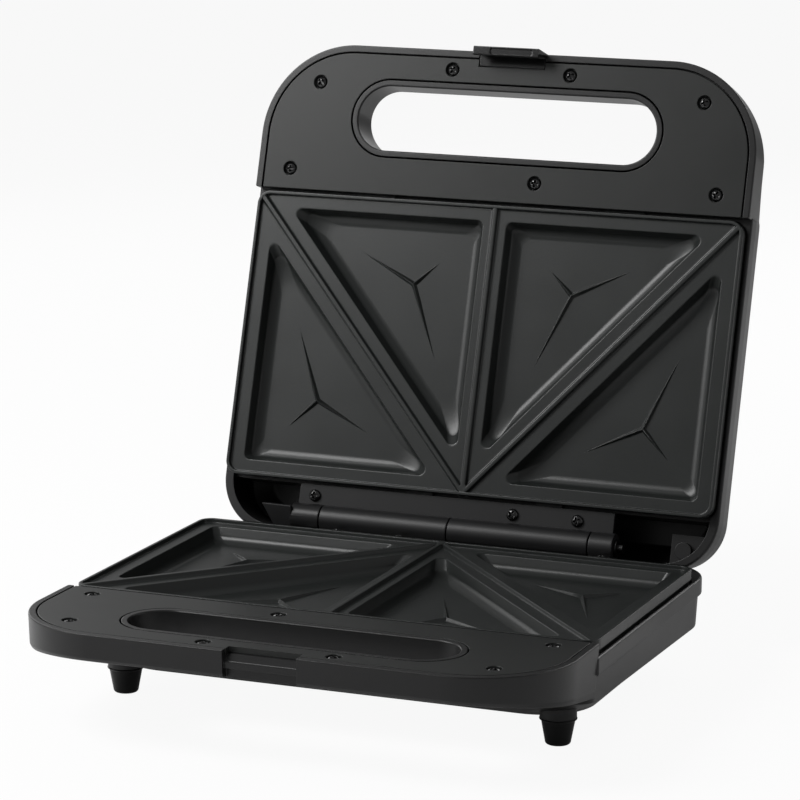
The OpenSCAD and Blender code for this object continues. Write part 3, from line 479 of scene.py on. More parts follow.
def moulded(name, colour, roughness, grain, grain_depth, edge=0.35, specular=0.5, coat=0.0, metal=0.0):
    """Moulded or coated surface: fine grain, faint mottling and softly broken edges."""
    made, start, out = finish_of(name)
    mottle_scale, mottle, rough_spread = 38.0, 0.12, 0.08
    where = start.node("TexCoord", output="Object")
    cloud = start.node("TexNoise", inputs={"Vector": where, "Scale": mottle_scale, "Detail": 3.0})
    fine = start.node("TexNoise", inputs={"Vector": where, "Scale": grain, "Detail": 2.0})
    dark = tuple(c * (1 - mottle) for c in colour) + (1,)
    light = tuple(c * (1 + mottle) for c in colour) + (1,)
    tone = start.node("Mix", {"data_type": "RGBA"}, {0: cloud, 6: dark, 7: light}, output=2)
    soft = start.node("Bevel", {"samples": 6}, {"Radius": edge * MM})
    bump = start.node("Bump", None, {
        "Height": fine, "Normal": soft, "Strength": 0.6, "Distance": grain_depth * MM})
    surface = start.node("BsdfPrincipled", None, {
        "Base Color": tone, "Roughness": cloud * rough_spread + (roughness - rough_spread / 2),
        "Normal": bump, "Specular IOR Level": specular, "Coat Weight": coat, "Metallic": metal})
    start.tree.links.new(surface.socket, out)
    return made


black_plastic = moulded("black_plastic", (0.0098, 0.0098, 0.01), 0.35, 1500.0, 0.02, 0.45, 0.34)

base_shell = housing()
lid_shell = copy_of(base_shell)

# The base's own holes: feet, cord gland, and the bar that the hook snaps under
front_foot, rear_foot = (94.4, 10), (80, 132.8)
foot_places = [(side * x, y) for x, y in (front_foot, rear_foot) for side in (-1, 1)]
gland_x, gland_depth = -58, 20
fuse(base_shell, [post("foot_boss", x, y, 7.4, 25, body_depth, 0, 40) for x, y in foot_places])
carve(base_shell, [post("foot_hole", x, y, 3, 31, body_depth + OVER) for x, y in foot_places])
gland_hole = post("gland_hole", 0, 0, 4.4, -12, 12)
hole_at = Matrix.Translation((gland_x, back_y, -gland_depth))
gland_hole.data.transform(hole_at @ Matrix.Rotation(math.pi / 2, 4, "X"))
carve(base_shell, [gland_hole])
catch_face = front_y + 1.7
catch_back = front_y + notch_in
bar_t, bar_low, bar_base = 2.6, -7.5, -handle_edge - 0.5
bar = along_x("catch_bar", -notch_w / 2 - OVER, notch_w / 2 + OVER, rounded([
    (catch_back + OVER, -2.5), (catch_back - 1, -2.5), (catch_face, -4.6), (catch_face, bar_low),
    (catch_face + bar_t, bar_low), (catch_face + bar_t, bar_base), (catch_back + OVER, bar_base)],
    (0.5, 0.6, 0.3, 0.3, 0.3), 4))
fuse(base_shell, [bar])
place(base_shell, "base_housing", "base", stand_base, ["base_shell"], black_plastic)

# The lid's own holes, for the lenses, and where the pin of the catch lever sits
lens_places = ((-10, 16), (10, 16))
pin_y, pin_z = front_y + 3.8, -4.6
carve(lid_shell, [post("lens_hole", x, y, 3, 31, body_depth + OVER) for x, y in lens_places])
place(lid_shell, "lid_housing", "lid", stand_lid, ["lid_shell"], black_plastic)

# --- Feet -----------------------------------------------------------------------
# Four tapered rubber feet, each with a collar under the floor and a barbed stem that
# snaps through a hole in it.
foot_h = rim_z - body_depth


def turned(name, profile, steps=40, closed=False):
    """Turned piece from its profile of radius and height, from the bottom up."""
    rings = [[(x, y, z) for x, y in arc(0, 0, r, 0, 360 - 360 / steps, steps - 1)] for r, z in profile]
    return loft(name, rings, closed)


def group_input(tree, name, kind, value=None):
    """Named input of a node tree: its socket identifier."""
    made = tree.interface.new_socket(name=name, in_out="INPUT", socket_type="NodeSocket" + kind)
    if value is not None:
        made.default_value = value
    return made.identifier


def nodes_tree(name):
    tree = bpy.data.node_groups.new(name, "GeometryNodeTree")
    tree.interface.new_socket(name="Geometry", in_out="OUTPUT", socket_type="NodeSocketGeometry")
    return tree


def end_tree(tree, made, finish):
    """Closes a tree: real copies of everything, with one finish."""
    real = made.node("GeometryNodeRealizeInstances", None, {"Geometry": made})
    coated = made.node("GeometryNodeSetMaterial", None, {"Geometry": real, "Material": finish})
    tree.links.new(coated.socket, tree.nodes.new("NodeGroupOutput").inputs["Geometry"])


# Sets a piece on points, each turned by the point's own angle about the upright
copy_tree = nodes_tree("copies_on_places")
group_input(copy_tree, "Places", "Geometry")
piece_id = group_input(copy_tree, "Piece", "Object")
size_id = group_input(copy_tree, "Size", "Float", 1.0)
finish_id = group_input(copy_tree, "Finish", "Material")
given = copy_tree.nodes.new("NodeGroupInput").outputs
tree_start = Wire(copy_tree)
turn = tree_start.node("GeometryNodeInputNamedAttribute", {"data_type": "FLOAT"}, {"Name": "turn"})
about = tree_start.node("CombineXYZ", None, {"Z": turn})
one = {"Object": Wire(copy_tree, given["Piece"])}
shape = tree_start.node("GeometryNodeObjectInfo", None, one, "Geometry")
spread = tree_start.node("GeometryNodeInstanceOnPoints", None, {
    "Points": Wire(copy_tree, given["Places"]), "Instance": shape, "Scale": Wire(copy_tree, given["Size"]),
    "Rotation": tree_start.node("FunctionNodeEulerToRotation", None, {"Euler": about})})
end_tree(copy_tree, spread, Wire(copy_tree, given["Finish"]))


def copies(name, piece, places, finish, size=1.0):
    """One plain mesh with a copy of the piece at each place (x, y, z, turn in degrees)."""
    mesh = bpy.data.meshes.new(name)
    mesh.from_pydata([spot[:3] for spot in places], [], [])
    turns = mesh.attributes.new("turn", "FLOAT", "POINT")
    for point, spot in zip(turns.data, places):
        point.value = math.radians(spot[3])
    made = bpy.data.objects.new(name, mesh)
    bpy.context.scene.collection.objects.link(made)
    step = made.modifiers.new("copies", "NODES")
    step.node_group = copy_tree
    step[piece_id], step[size_id], step[finish_id] = piece, size, finish
    return settle(made)


rubber = moulded("foot_rubber", (0.0056, 0.0056, 0.0056), 0.35, 2200.0, 0.03, 0.2, 0.21)
stem, stem_r, barb = foot_h + wall + 0.1, 2.95, 2.4
foot_tip = arc(3.9, 1.3, 1.3, -90, 0, 8)
foot_collar = arc(7.2, foot_h - 0.4, 0.4, -90, 90, 6)
foot_stem = [(stem_r, foot_h), (stem_r, stem), (3.8, stem), (barb, stem + barb), (0, stem + barb)]
foot = turned("foot", [(0, 0)] + foot_tip + [(6.8, foot_h - 1.1)] + foot_collar + foot_stem, 48)
feet = copies("base_feet", foot, [(x, y, -rim_z, 0) for x, y in foot_places], rubber)
place(feet, "base_feet", "base", stand_base,
      ["foot_front_left", "foot_front_right", "foot_rear_left", "foot_rear_right"], rubber)
bpy.data.objects.remove(foot)

# --- Cord gland -------------------------------------------------------------------
# Flanged rubber bush in the back wall of the base, which the mains cord comes out of.
# Its ribs let it bend with the cord.
gland_seat = 5 - wall_in(gland_depth - 5.4) + 0.05
gland_profile = [(3.4, 0.3), (3.7, 0), (4.35, 0), (4.35, gland_seat), (5.4, gland_seat + 0.01)]
for i in range(3):
    z = gland_seat + 1.3 + i * 2.0
    waist = 4.75 - 0.2 * i
    gland_profile += [(5.35 - 0.25 * i, z), (waist, z + 0.35), (waist, z + 0.95), (5.2 - 0.25 * i, z + 1.3)]
gland_profile += [(4.3, 10.7), (4.0, 11), (3.6, 11), (3.4, 10.8)]
gland = turned("gland", gland_profile, 40, True)
gland_at = Matrix.Translation((gland_x, back_y - 5, -gland_depth))
gland.data.transform(gland_at @ Matrix.Rotation(-math.pi / 2, 4, "X"))
place(gland, "base_cord_gland", "base", stand_base, ["cord_gland"], rubber)

# --- Wiring -----------------------------------------------------------------------
# Thermostat, thermal fuse and terminal block: heat-proof ceramic and steatite pieces,
# pressed and fired, clamped inside the base.
ceramic = moulded("fired_ceramic", (0.62, 0.58, 0.5), 0.55, 900.0, 0.03, 0.2, 0.4)


def dress(node, finish):
    """Gives a carried-over node its finish."""
    for slot in frame["nodes"][node].material_slots:
        slot.material = finish


for node in ("thermostat", "thermal_fuse", "terminal_block"):
    dress(node, ceramic)

# --- Heating elements -------------------------------------------------------------
# Bent steel tubes filled with insulated wire, one pressed against the back of each
# plate. The steel is darkened by heat.
element_steel = moulded("tube_steel", (0.3, 0.28, 0.26), 0.42, 600.0, 0.01, 0.2, 0.5, 0.0, 1.0)
for half in ("base", "lid"):
    dress(half + "_heater", element_steel)

# --- Heat shields ------------------------------------------------------------------
# Trays pressed from aluminised sheet, screwed to four posts so that they hold the
# element against the plate.
sheet_steel = moulded("sheet_steel", (0.55, 0.55, 0.54), 0.35, 400.0, 0.01, 0.2, 0.5, 0.0, 1.0)
for half in ("base", "lid"):
    dress(half + "_heat_shield", sheet_steel)

# --- Shield screws -----------------------------------------------------------------
# Plain zinc-coated pan-head screws with a cross recess, cold headed, with a rolled
# shank that cuts its own thread in the plastic post.
screw_steel = moulded("zinc_screw", (0.55, 0.56, 0.58), 0.3, 900.0, 0.01, 0.15, 0.5, 0.0, 1.0)


def pan_head(name, shank):
    """Screw with its head's seat at the origin and its shank hanging below."""
    made = turned(name, [
        (0, -shank), (0.7, -shank + 0.4), (1.45, -shank + 1.5), (1.45, 0), (2.62, 0.04), (2.7, 0.2),
        (2.68, 0.7), (2.45, 1.15), (1.95, 1.5), (1.2, 1.73), (0.6, 1.79), (0, 1.8)], 32)
    recess = []
    for angle in (0, 90):
        slit = loft("slit", [level(outline(l, -w, w, w * 0.4, w * 0.4, 2), -z)
                             for l, w, z in ((0.9, 0.3, 0.4), (1.95, 0.55, 1.9))])
        slit.data.transform(Matrix.Rotation(math.radians(angle), 4, "Z"))
        recess.append(slit)
    return carve(made, recess)


def set_screws(kind, shank, spots, seat, first_turn, turn_step, finish):
    """Screws of one kind at their spots in both halves, each left at its own turn."""
    screw = pan_head(kind, shank)
    places = [(x, y, seat, turn_step * i + first_turn) for i, (x, y) in enumerate(spots)]
    for body, stand in halves:
        made = copies("screws", screw, places, finish)
        nodes = [f"{body}_{kind}_{i + 1}" for i in range(len(spots))]
        place(made, f"{body}_{kind}s", body, stand, nodes, finish)
    bpy.data.objects.remove(screw)


set_screws("shield_screw", 8, shield_screws, -shield_top, 0, 25, screw_steel)

# --- Cooking plates ----------------------------------------------------------------
# Die-cast aluminium with a dark non-stick coating, sprayed and baked. Four triangular
# pockets with wide rounded feet, ridges between them, a raised rim and creased floors.
land, cast_t, skirt_t = 1.8, 2.6, 2.4
pocket_depth, pocket_r, mouth = 8.6, 2.8, 0.45
steep_h, wall_inset, foot_w = 3.1, 1.1, 5.0
edge_land, side_land, middle_land, slant_land = 7, 7.8, 5.5, 7.2
slant = Vector((plate_hw, plate_d)).normalized()


def beside(t, o):
    """Point along the left slanting ridge, o towards the middle from it."""
    return Vector((-plate_hw + t * slant.x + o * slant.y, t * slant.y - o * slant.x))


def beside_at_y(y, o):
    return beside((y + o * slant.x) / slant.y, o)


def beside_at_x(x, o):
    return beside((x + plate_hw - o * slant.y) / slant.x, o)


front_pocket = [beside_at_y(edge_land, slant_land), Vector((-middle_land, edge_land)),
                beside_at_x(-middle_land, slant_land)]
back_pocket = [beside_at_x(side_land - plate_hw, -slant_land),
               beside_at_y(plate_d - edge_land, -slant_land),
               Vector((side_land - plate_hw, plate_d - edge_land))]


def triangle_ring(corners, inset, r, depth, steps=8):
    """Outline of a pocket drawn in, with its corners rounded."""
    sides = [(corners[(i + 1) % 3] - corners[(i + 2) % 3]).length for i in range(3)]
    middle = sum((c * s for c, s in zip(corners, sides)), Vector((0, 0))) / sum(sides)
    area = abs((corners[1] - corners[0]).cross(corners[2] - corners[0]))
    inradius = area / sum(sides)
    ring = []
    for i in range(3):
        at = middle + (corners[i] - middle) * (1 - (inset + r) / inradius)
        before, after = corners[i] - corners[i - 1], corners[(i + 1) % 3] - corners[i]
        start = math.degrees(math.atan2(before.y, before.x)) - 90
        end = math.degrees(math.atan2(after.y, after.x)) - 90
        ring += [(x, y, -depth) for x, y in arc(at.x, at.y, r, start, end + 360 * (end < start), steps)]
    return ring


def pocket(corners):
    """Room of a pocket: rounded mouth, steep wall, and a wide rounded foot."""
    profile = [(-mouth, -OVER)]
    profile += [(-mouth * (1 - math.sin(a)), land + mouth * (1 - math.cos(a)))
                for a in (math.radians(d) for d in (0, 30, 60, 80))]
    rise = pocket_depth - land - steep_h
    foot = [(wall_inset + foot_w * (1 - math.cos(a)), land + steep_h + rise * math.sin(a))
            for a in (math.radians(d) for d in range(0, 91, 10))]
    rings = [triangle_ring(corners, k, pocket_r + 0.3 * max(k, 0), d) for k, d in profile + foot]
    return loft("pocket", rings)


def crease(corners, centre, reach):
    """Three-armed rib pressed up in a pocket floor, tapering to a point at each end."""
    rib_h, rib_hw, sunk, steps = 1.3, 1.2, 0.7, 7
    arms = [(corners[i] - centre) * reach[i] for i in range(3)]
    loops = []
    for share, height in ((1, 0), (0.55, 0.42), (0.08, 1)):
        loop = []
        for i in range(3):
            across = Vector((-arms[i].y, arms[i].x)).normalized()
            nook = (arms[i - 1].normalized() + arms[i].normalized()).normalized() * rib_hw * 1.1 * share
            loop.append((nook, height))
            for side, order in ((-1, range(1, steps)), (1, range(steps, 0, -1))):
                for j in order:
                    s = j / steps
                    point = arms[i] * (0.06 + 0.94 * s) + across * side * rib_hw * share * (1 - s)
                    loop.append((point, height * (1 - s) ** 0.7))
        loops.append([(centre.x + p.x, centre.y + p.y, -pocket_depth + rib_h * h) for p, h in loop])
    floor = [(x, y, z - sunk) for x, y, z in loops[0]]
    return loft("crease", [floor] + loops)


def ridge(start, end):
    """Dividing ridge with a rounded crest and a hollow root on each side."""
    start, end = Vector(start), Vector(end)
    half = [(2.6, -0.4), (2.6, 0), (2.0, 0.03), (1.55, 0.2), (1.25, 0.6), (1.05, 1.15),
            (0.85, 1.5), (0.55, 1.64), (0, 1.66)]
    section = half + [(-u, v) for u, v in half[-2::-1]]
    across = Vector((end.y - start.y, start.x - end.x)).normalized()
    return loft("ridge", [[(at.x + across.x * u, at.y + across.y * u, v - land) for u, v in section]
                          for at in (start, end)])


def plate_ring(inset, depth):
    r = max(plate_r - inset * 0.85, 0.5)
    return level(outline(plate_hw - inset, inset, plate_d - inset, r, r, 12), depth)


def cooking_plate():
    """One casting: body and skirt, pockets, ridges, creases, knob and tongues."""
    body = loft("plate", [plate_ring(i, d) for i, d in (
        (1.2, ledge_depth), (1.2, 4.7), (0.4, 4.6), (0.1, 4.45), (0, 4.2), (0, 0.45), (0.13, 0.13),
        (0.42, 0), (1.05, 0), (1.35, 0.13), (1.5, 0.45),
        (1.58, land - 0.45), (1.75, land - 0.12), (2.1, land))])
    carve(body, [loft("hollow", [plate_ring(skirt_t, d) for d in (land + cast_t, ledge_depth + OVER)])])
    pockets, creases, pads = [], [], []
    pad_grow = 2.4
    for side in (-1, 1):
        flip = Matrix.Diagonal((-side, 1, 1, 1))
        for corners, centre, reach in (
                (front_pocket, (-0.3265 * plate_hw, 0.2848 * plate_d), (0.43, 0.35, 0.44)),
                (back_pocket, (-0.6726 * plate_hw, 0.7167 * plate_d), (0.44, 0.43, 0.43))):
            pad = loft("pad", [triangle_ring(corners, -pad_grow, pocket_r + pad_grow, d)
                               for d in (land + OVER, pocket_depth + cast_t)])
            for group, made in ((pads, pad), (pockets, pocket(corners)),
                                (creases, crease(corners, Vector(centre), reach))):
                made.data.transform(flip)
                if side > 0:
                    made.data.flip_normals()
                group.append(made)
    reach = Vector((plate_hw, plate_d)).length - 3.2
    ridges = [ridge(Vector((0, plate_d)) + Vector((side * slant.x, -slant.y)) * reach, (0, plate_d - 1))
              for side in (-1, 1)]
    ridges.append(ridge((0, 0.8), (0, plate_d - 0.8)))
    knob = turned("knob", [(0, -2.2), (2.6, -2.2), (2.6, -1.8), (2.2, -1.7), (1.9, -1.3),
                           (1.75, -0.5), (1.4, -0.16), (0, -0.12)], 24)
    knob.data.transform(Matrix.Translation((0, plate_d - 3.4, 0)))
    front_tongues = ((-58, 58), 9, handle_end - wall, 0, cover_t, 1)
    back_tongues = ((-38, 22), 6, plate_d + 3.8, plate_d, leaf_back, -1)
    tongues = [along_x("tongue", x - hw, x + hw, [
        (tip, -top), (tip + 2.2 * way, -top), (root - 1.4 * way, -top - 2), (root + 2 * way, -top - 2),
        (root + 2 * way, -top - 4), (root - 2 * way, -top - 4), (tip, -top - 1.6)])
        for places, hw, tip, root, top, way in (front_tongues, back_tongues) for x in places]
    fuse(body, pads + ridges + [knob] + tongues)
    carve(body, pockets)
    return fuse(body, creases)


non_stick = moulded("non_stick", (0.0129, 0.0146, 0.014), 0.34, 750.0, 0.04, 0.25, 0.39)
plate = cooking_plate()
for body, stand in halves:
    place(copy_of(plate), body + "_cooking_plate", body, stand,
          [body + "_plate"], non_stick)
bpy.data.objects.remove(plate)

# --- Hinge leaves ------------------------------------------------------------------
# Steel strip rolled round the pin at each knuckle and painted satin black. Each leaf
# is screwed to three posts behind the plate.
satin_black = moulded("satin_black_metal", (0.0098, 0.0098, 0.0102), 0.4, 1300.0, 0.02, 0.3, 0.31)
barrel_r, pin_r = 6.2, 2.0
leaf_depth = 3
leaf_x = (-69.5, 77)
leaf_front = plate_d + 1.2
gap = 0.175
base_knuckles = ((-63 + gap, -3 - gap), (61.5 + gap, 72.5))
lid_knuckles = ((gap - 61.5, 3 - gap), (63 + gap, 77))


def rod(name, x0, x1, r, edge=0.0, steps=48):
    """Round rod along the hinge axis with softened ends."""
    made = turned(name, [(0, x0), (r - edge, x0), (r - edge * 0.3, x0 + edge * 0.3), (r, x0 + edge),
                         (r, x1 - edge), (r - edge * 0.3, x1 - edge * 0.3), (r - edge, x1), (0, x1)], steps)
    made.data.transform(Matrix.Translation((0, axis_y, axis_z)) @ Matrix.Rotation(math.pi / 2, 4, "Y"))
    return made


def soften(piece, width, segments=2, angle=35):
    """Rounds the sharp edges of a piece."""
    step = piece.modifiers.new("soften", "BEVEL")
    step.width, step.segments = width, segments
    step.limit_method, step.angle_limit = "ANGLE", math.radians(angle)
    return settle(piece)


def hinge_leaf(knuckles):
    """Strip cut back from the other leaf's knuckles, with its own ones and its holes."""
    clear_r = 6.6
    clear = math.sqrt(clear_r ** 2 - (leaf_depth + axis_z) ** 2)
    leaf = block("leaf", (leaf_x[0], leaf_front, -leaf_back), (leaf_x[1], axis_y - clear, -leaf_depth))
    webs = [block("web", (a, leaf_front + 2, -leaf_back), (b, axis_y - 2, -leaf_depth))
            for a, b in knuckles]
    fuse(leaf, webs)
    soften(leaf, 0.3)
    fuse(leaf, [rod("knuckle", a, b, barrel_r, 0.5) for a, b in knuckles])
    holes = [rod("bore", leaf_x[0] - 20, leaf_x[1] + 20, pin_r + 0.05)]
    holes += [post("hole", x, y, 1.8, 0, leaf_back + OVER) for x, y in leaf_screws]
    holes += [post("head_room", x, y, 3.3, -7.2, leaf_depth) for x, y in leaf_screws]
    return carve(leaf, holes)


def sew(piece):
    """Merges doubled points, drops faces without area and closes what they leave open."""
    shape = bmesh.new()
    shape.from_mesh(piece.data)
    bmesh.ops.remove_doubles(shape, verts=shape.verts, dist=0.002)
    bmesh.ops.dissolve_degenerate(shape, edges=shape.edges, dist=0.001)
    rims = [edge for edge in shape.edges if len(edge.link_faces) == 1]
    bmesh.ops.holes_fill(shape, edges=rims, sides=12)
    shape.to_mesh(piece.data)
    shape.free()
    return piece


base_leaf = sew(hinge_leaf(base_knuckles))
place(base_leaf, "base_hinge_leaf_strip", "base", stand_base,
      ["base_hinge_leaf"], satin_black)
lid_leaf = hinge_leaf(lid_knuckles)
gusset_points = ((-90, 6.35), (-76, 6.15), (-76, -4.85), (-81, -5.25), (-84.5, -2.85))
gusset = loft("gusset", [[(x, y, z) for x, z in gusset_points] for y in (axis_y - 6, axis_y - 4)])
soften(gusset, 0.35)
gusset.data.transform(stand_lid.inverted() @ stand_base)
sew(fuse(lid_leaf, [gusset]))
place(lid_leaf, "lid_hinge_leaf_strip", "lid", stand_lid,
      ["lid_hinge_leaf"], satin_black)

# --- Hinge screws ------------------------------------------------------------------
# Blackened pan-head screws of the same pattern as the shield's, three to a leaf. They
# go through the leaf into the posts of the moulding.
black_screw = moulded("blackened_screw", (0.0056, 0.0056, 0.0059), 0.16, 1500.0, 0.01, 0.12, 0.6)
set_screws("hinge_screw", 9, leaf_screws, -leaf_depth, 20, 35, black_screw)

# --- Handle covers -----------------------------------------------------------------
# Dark grey plates let into the handles level with the rim, moulded with a fine matt
# texture. A narrow seam is left round each, and the grip slot's collar stands in it.
grey_cover = moulded("matt_grey", (0.0147, 0.0157, 0.0151), 0.38, 1700.0, 0.03, 0.2, 0.28)
inset, well_depth = rim_band + seam, 1.9


def cover_ring(i, depth):
    """Outline of the cover at a depth, i further in than its seam."""
    k = inset + i
    points = outline(half_w - k, front_y + k, handle_end - i, handle_corner_r - k, 0.6, 28)
    return level(points, depth)


cover = loft("cover", [cover_ring(i, d) for i, d in ((0, cover_t), (0, 0.3), (0.09, 0.09), (0.3, 0))])
slot_rings = [level(long_hole(slot_l, slot_h, collar_t + seam + i), d)
              for i, d in ((0.3, -OVER), (0.3, 0), (0.09, 0.09), (0, 0.3), (0, cover_t + OVER))]
notch = block("notch", (-notch_w / 2, front_y, -cover_t - OVER), (notch_w / 2, front_y + notch_in, OVER))
carve(cover, [loft("slot", slot_rings), notch])
carve(cover, [post("well", x, y, 3.15, 0, well_depth, 0.3, 32) for x, y in cover_screws])
carve(cover, [post("hole", x, y, 1.8, 0, cover_t + OVER) for x, y in cover_screws])
for body, stand in halves:
    place(copy_of(cover), body + "_cover", body, stand,
          [body + "_handle_cover"], grey_cover)
bpy.data.objects.remove(cover)

# --- Cover screws ------------------------------------------------------------------
# Seven blackened pan-head screws in each cover, their heads sunk in round wells. They
# go through the cover into posts inside the handle.
set_screws("cover_screw", 7, cover_screws, -well_depth, 20, 25, black_screw)

# --- Hinge pin ---------------------------------------------------------------------
# Round darkened steel pin with an upset head, kept in by a push-on washer at its far
# end.
dark_steel = moulded("pin_steel", (0.04, 0.04, 0.04), 0.34, 500.0, 0.005, 0.2, 0.5, 0.0, 1.0)
for node in ("hinge_pin", "hinge_pin_clip"):
    dress(node, dark_steel)

# --- Catch -------------------------------------------------------------------------
# Glossy black lever moulded with its hook, on a steel pin across the lid's notch. A
# torsion spring wound on the pin presses it shut.
gloss_black = moulded("gloss_black", (0.0042, 0.0042, 0.0043), 0.2, 900.0, 0.006, 0.3, 0.49, 0.1)
hook_t, hook_drop, nose_in, nose_h = 2, 9.9, 1.9, 1.8
lever_hw = notch_w / 2 - 0.4
y0 = front_y - 0.5
y1, lever_back = y0 + hook_t, pin_y + 2.1
nose, lever_low, lever_top = y1 + nose_in, -0.3, -8.6
lever_section = rounded([
    (y0, hook_drop), (nose, hook_drop), (nose, hook_drop - nose_h), (y1, hook_drop - nose_h),
    (y1, lever_low), (lever_back + 0.7, lever_low), (lever_back + 0.7, -3.4), (lever_back, -4.4),
    (lever_back, lever_top), (y0, lever_top)], (0.5, 0.5, 0.4, 0.4, 0.5, 0.5, 0.5, 0.5, 1.4, 1.4), 4, True)
lever = along_x("lever", -lever_hw, lever_hw, lever_section)
room, room_hw = 2.4, 3.85
spring_room = block("spring_room", (-room_hw, pin_y - room, pin_z - room),
                    (room_hw, pin_y + 3 * room, pin_z + room))
panel_rings = []
for hw, grow, z in ((9.9, 0.2, hook_drop + 0.4), (9.9, 0.2, hook_drop), (9.6, 0, hook_drop - 0.7)):
    points = outline(hw, y0 + 0.8 - grow, nose - 0.6 + grow, 0.8, 0.8, 4)
    panel_rings.append(level(points, -z))
panel = loft("panel", panel_rings)
panel.data.transform(Matrix.Translation((-2.5, 0, 0)))
on_pin = Matrix.Rotation(math.pi / 2, 4, "Y")
bore_r, bore_reach = 1.15, 20
bore = turned("bore", [(0, -bore_reach), (bore_r, -bore_reach), (bore_r, bore_reach), (0, bore_reach)], 24)
bore.data.transform(Matrix.Translation((0, pin_y, pin_z)) @ on_pin)
carve(lever, [spring_room, panel, bore])
soften(lever, 0.25)
place(lever, "catch_lever", "latch", stand_lid, ["latch_lever"], gloss_black)
dress("latch_pin", dark_steel)

# Wire wound along a spiral
coil_tree = nodes_tree("wound_wire")
turns_id = group_input(coil_tree, "Turns", "Float", 5.0)
coil_r_id = group_input(coil_tree, "Coil radius", "Float", 1.85)
length_id = group_input(coil_tree, "Length", "Float", 6.0)
wire_r_id = group_input(coil_tree, "Wire radius", "Float", 0.35)
coil_finish_id = group_input(coil_tree, "Finish", "Material")
given = coil_tree.nodes.new("NodeGroupInput").outputs
tree_start = Wire(coil_tree)
coil_r = Wire(coil_tree, given["Coil radius"])
spiral = tree_start.node("GeometryNodeCurveSpiral", None, {
    "Resolution": 24, "Rotations": Wire(coil_tree, given["Turns"]), "Start Radius": coil_r,
    "End Radius": coil_r, "Height": Wire(coil_tree, given["Length"])})
round_wire = tree_start.node("GeometryNodeCurvePrimitiveCircle", None, {
    "Resolution": 10, "Radius": Wire(coil_tree, given["Wire radius"])})
wound = tree_start.node("GeometryNodeCurveToMesh", None, {
    "Curve": spiral, "Profile Curve": round_wire, "Fill Caps": True})
end_tree(coil_tree, wound, Wire(coil_tree, given["Finish"]))
spring = bpy.data.objects.new("spring", bpy.data.meshes.new("spring"))
bpy.context.scene.collection.objects.link(spring)
step = spring.modifiers.new("wound", "NODES")
step.node_group = coil_tree
step[turns_id], step[coil_r_id], step[length_id], step[wire_r_id] = 5.0, 1.85, 6.0, 0.35
step[coil_finish_id] = dark_steel
settle(spring)
spring.data.transform(Matrix.Translation((-3, pin_y, pin_z)) @ on_pin)
place(spring, "lid_catch_spring", "lid", stand_lid, ["latch_spring"], dark_steel)

# --- Indicator lights ----------------------------------------------------------------
# Two small domed lenses pushed through the lid from inside, one red and one green, each
# with a glow lamp behind it.
for name, node, (x, y), colour in (("power", "power_lens", lens_places[0], (0.3, 0.012, 0.01)),
                                   ("ready", "ready_lens", lens_places[1], (0.01, 0.16, 0.03))):
    tint = moulded(name + "_tint", colour, 0.12, 300.0, 0.003, 0.2, 0.5, 0.3)
    flange, lens_r, flange_t = -(wall + 0.1), 2.9, 1.1
    dome = [(lens_r * math.cos(a), 0.1 + 0.95 * math.sin(a))
            for a in (math.radians(d) for d in range(15, 91, 15))]
    lens = turned(node, [(0, flange - flange_t), (4, flange - flange_t), (4, flange),
                         (lens_r, flange), (lens_r, 0.1)] + dome, 32)
    lens.data.transform(Matrix.Translation((x, y, -body_depth)) @ Matrix.Rotation(math.pi, 4, "X"))
    place(lens, f"lid_{name}_lens", "lid", stand_lid, [node], tint)
lamp_glass = moulded("glow_glass", (0.75, 0.45, 0.25), 0.1, 300.0, 0.003, 0.1, 0.5, 0.5)
for node in ("power_lamp", "ready_lamp"):
    dress(node, lamp_glass)

# --- Setting --------------------------------------------------------------------
# A pale table, a white surround and large soft lamps. The camera stands where the
# photograph was taken from, a little above the toaster and to its right.
view_azimuth, view_elevation, view_roll = math.radians(21.762), math.radians(11.788), math.radians(0.32)
view_distance, view_lens = 1.5218, 167.05
sight = Vector((0, 60 - origin_y, 60 + rim_z)) * MM
back = Vector((math.sin(view_azimuth) * math.cos(view_elevation),
               -math.cos(view_azimuth) * math.cos(view_elevation), math.sin(view_elevation)))
right = (-back).cross(Vector((0, 0, 1))).normalized()
upward = right.cross(-back)
right_rolled = right * math.cos(view_roll) + upward * math.sin(view_roll)
up_rolled = upward * math.cos(view_roll) - right * math.sin(view_roll)
eye = sight + right * 6.133 * MM + upward * 14.634 * MM + back * view_distance
camera = bpy.data.objects.new("camera", bpy.data.cameras.new("camera"))
camera.data.lens, camera.data.sensor_width = view_lens, 36
camera.data.clip_start, camera.data.clip_end = 0.1, 20
axes = Matrix((right_rolled, up_rolled, back)).transposed().to_4x4()
camera.matrix_world = Matrix.Translation(eye) @ axes
bpy.context.scene.collection.objects.link(camera)
bpy.context.scene.camera = camera

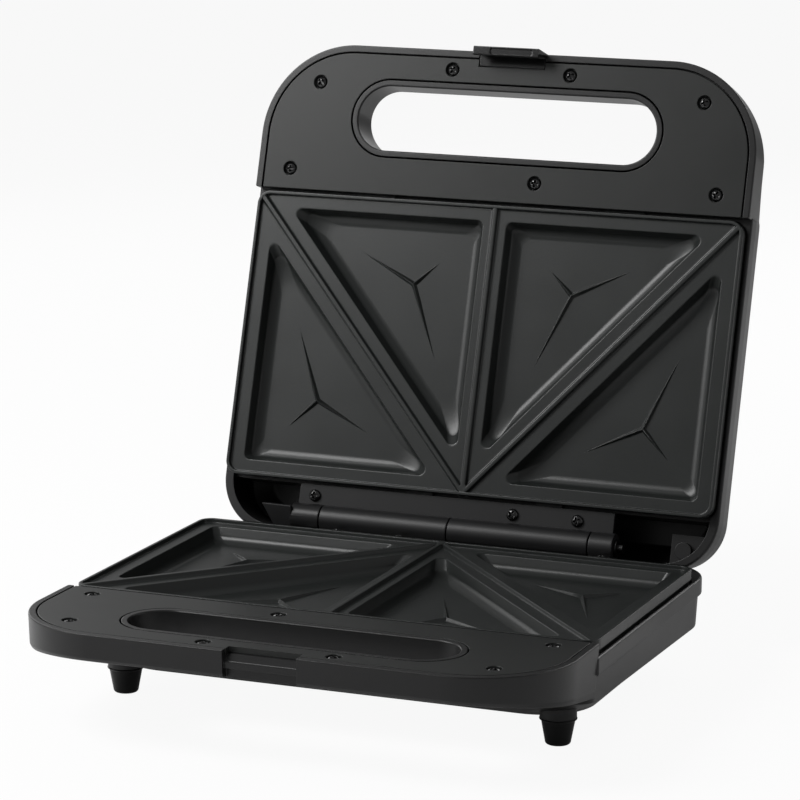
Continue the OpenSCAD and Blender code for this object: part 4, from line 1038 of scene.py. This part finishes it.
table_size = 6
table = block("table", (-table_size, -table_size, -0.02), (table_size, table_size, 0))
table_finish, start, out = finish_of("white_table")
matt = start.node("BsdfDiffuse", None, {"Color": (0.85, 0.85, 0.85, 1)})
glow = start.node("Emission", None, {"Color": (1, 1, 1, 1), "Strength": 1.0})


def seen_by(start, camera_share, mirror_share):
    """How white a thing looks to the camera, and to rays from gloss and glass."""
    camera_ray = start.node("LightPath", output="Is Camera Ray")
    glossy_ray = start.node("LightPath", output="Is Glossy Ray")
    glass_ray = start.node("LightPath", output="Is Transmission Ray")
    mirrored = start.math("MINIMUM", glossy_ray + glass_ray, 1.0)
    return camera_ray * camera_share + mirrored * mirror_share


seen = seen_by(start, 0.93, 0.12)
start.tree.links.new(start.node("MixShader", None, {0: seen, 1: matt, 2: glow}).socket, out)
table.data.materials.append(table_finish)

world = bpy.data.worlds.new("surround")
world.use_nodes = True
world.node_tree.nodes.clear()
start = Wire(world.node_tree)
light = start.node("Background", None, {"Color": (1, 1, 1, 1), "Strength": 0.12})
white = start.node("Background", None, {"Color": (1, 1, 1, 1), "Strength": 1.0})
surround = start.node("MixShader", None, {0: seen_by(start, 1.0, 0.22), 1: light, 2: white})
start.tree.links.new(surround.socket, world.node_tree.nodes.new("ShaderNodeOutputWorld").inputs["Surface"])
bpy.context.scene.world = world
bpy.context.scene.view_settings.view_transform = "Standard"

aim = Vector((0, 0.05, 0.13))


def lamp(name, place_at, width, height, power):
    """Large rectangular soft lamp aimed at the middle of the toaster."""
    made = bpy.data.objects.new(name, bpy.data.lights.new(name, "AREA"))
    made.data.shape, made.data.size, made.data.size_y = "RECTANGLE", width, height
    made.data.energy = power
    facing = (Vector(place_at) - aim).to_track_quat("Z", "Y").to_matrix().to_4x4()
    made.matrix_world = Matrix.Translation(place_at) @ facing
    bpy.context.scene.collection.objects.link(made)


lamp("key", (-0.54, -0.40, 0.77), 0.45, 0.45, 7.4)
lamp("low", (-0.73, -0.46, 0.455), 0.45, 0.45, 1.7)
lamp("right", (0.94, 0.13, 0.26), 0.45, 0.45, 0.7)
lamp("back", (0.2, 1.15, 0.75), 0.9, 0.5, 6.3)
lamp("back_left", (-0.95, 0.75, 0.5), 0.6, 0.6, 2.1)
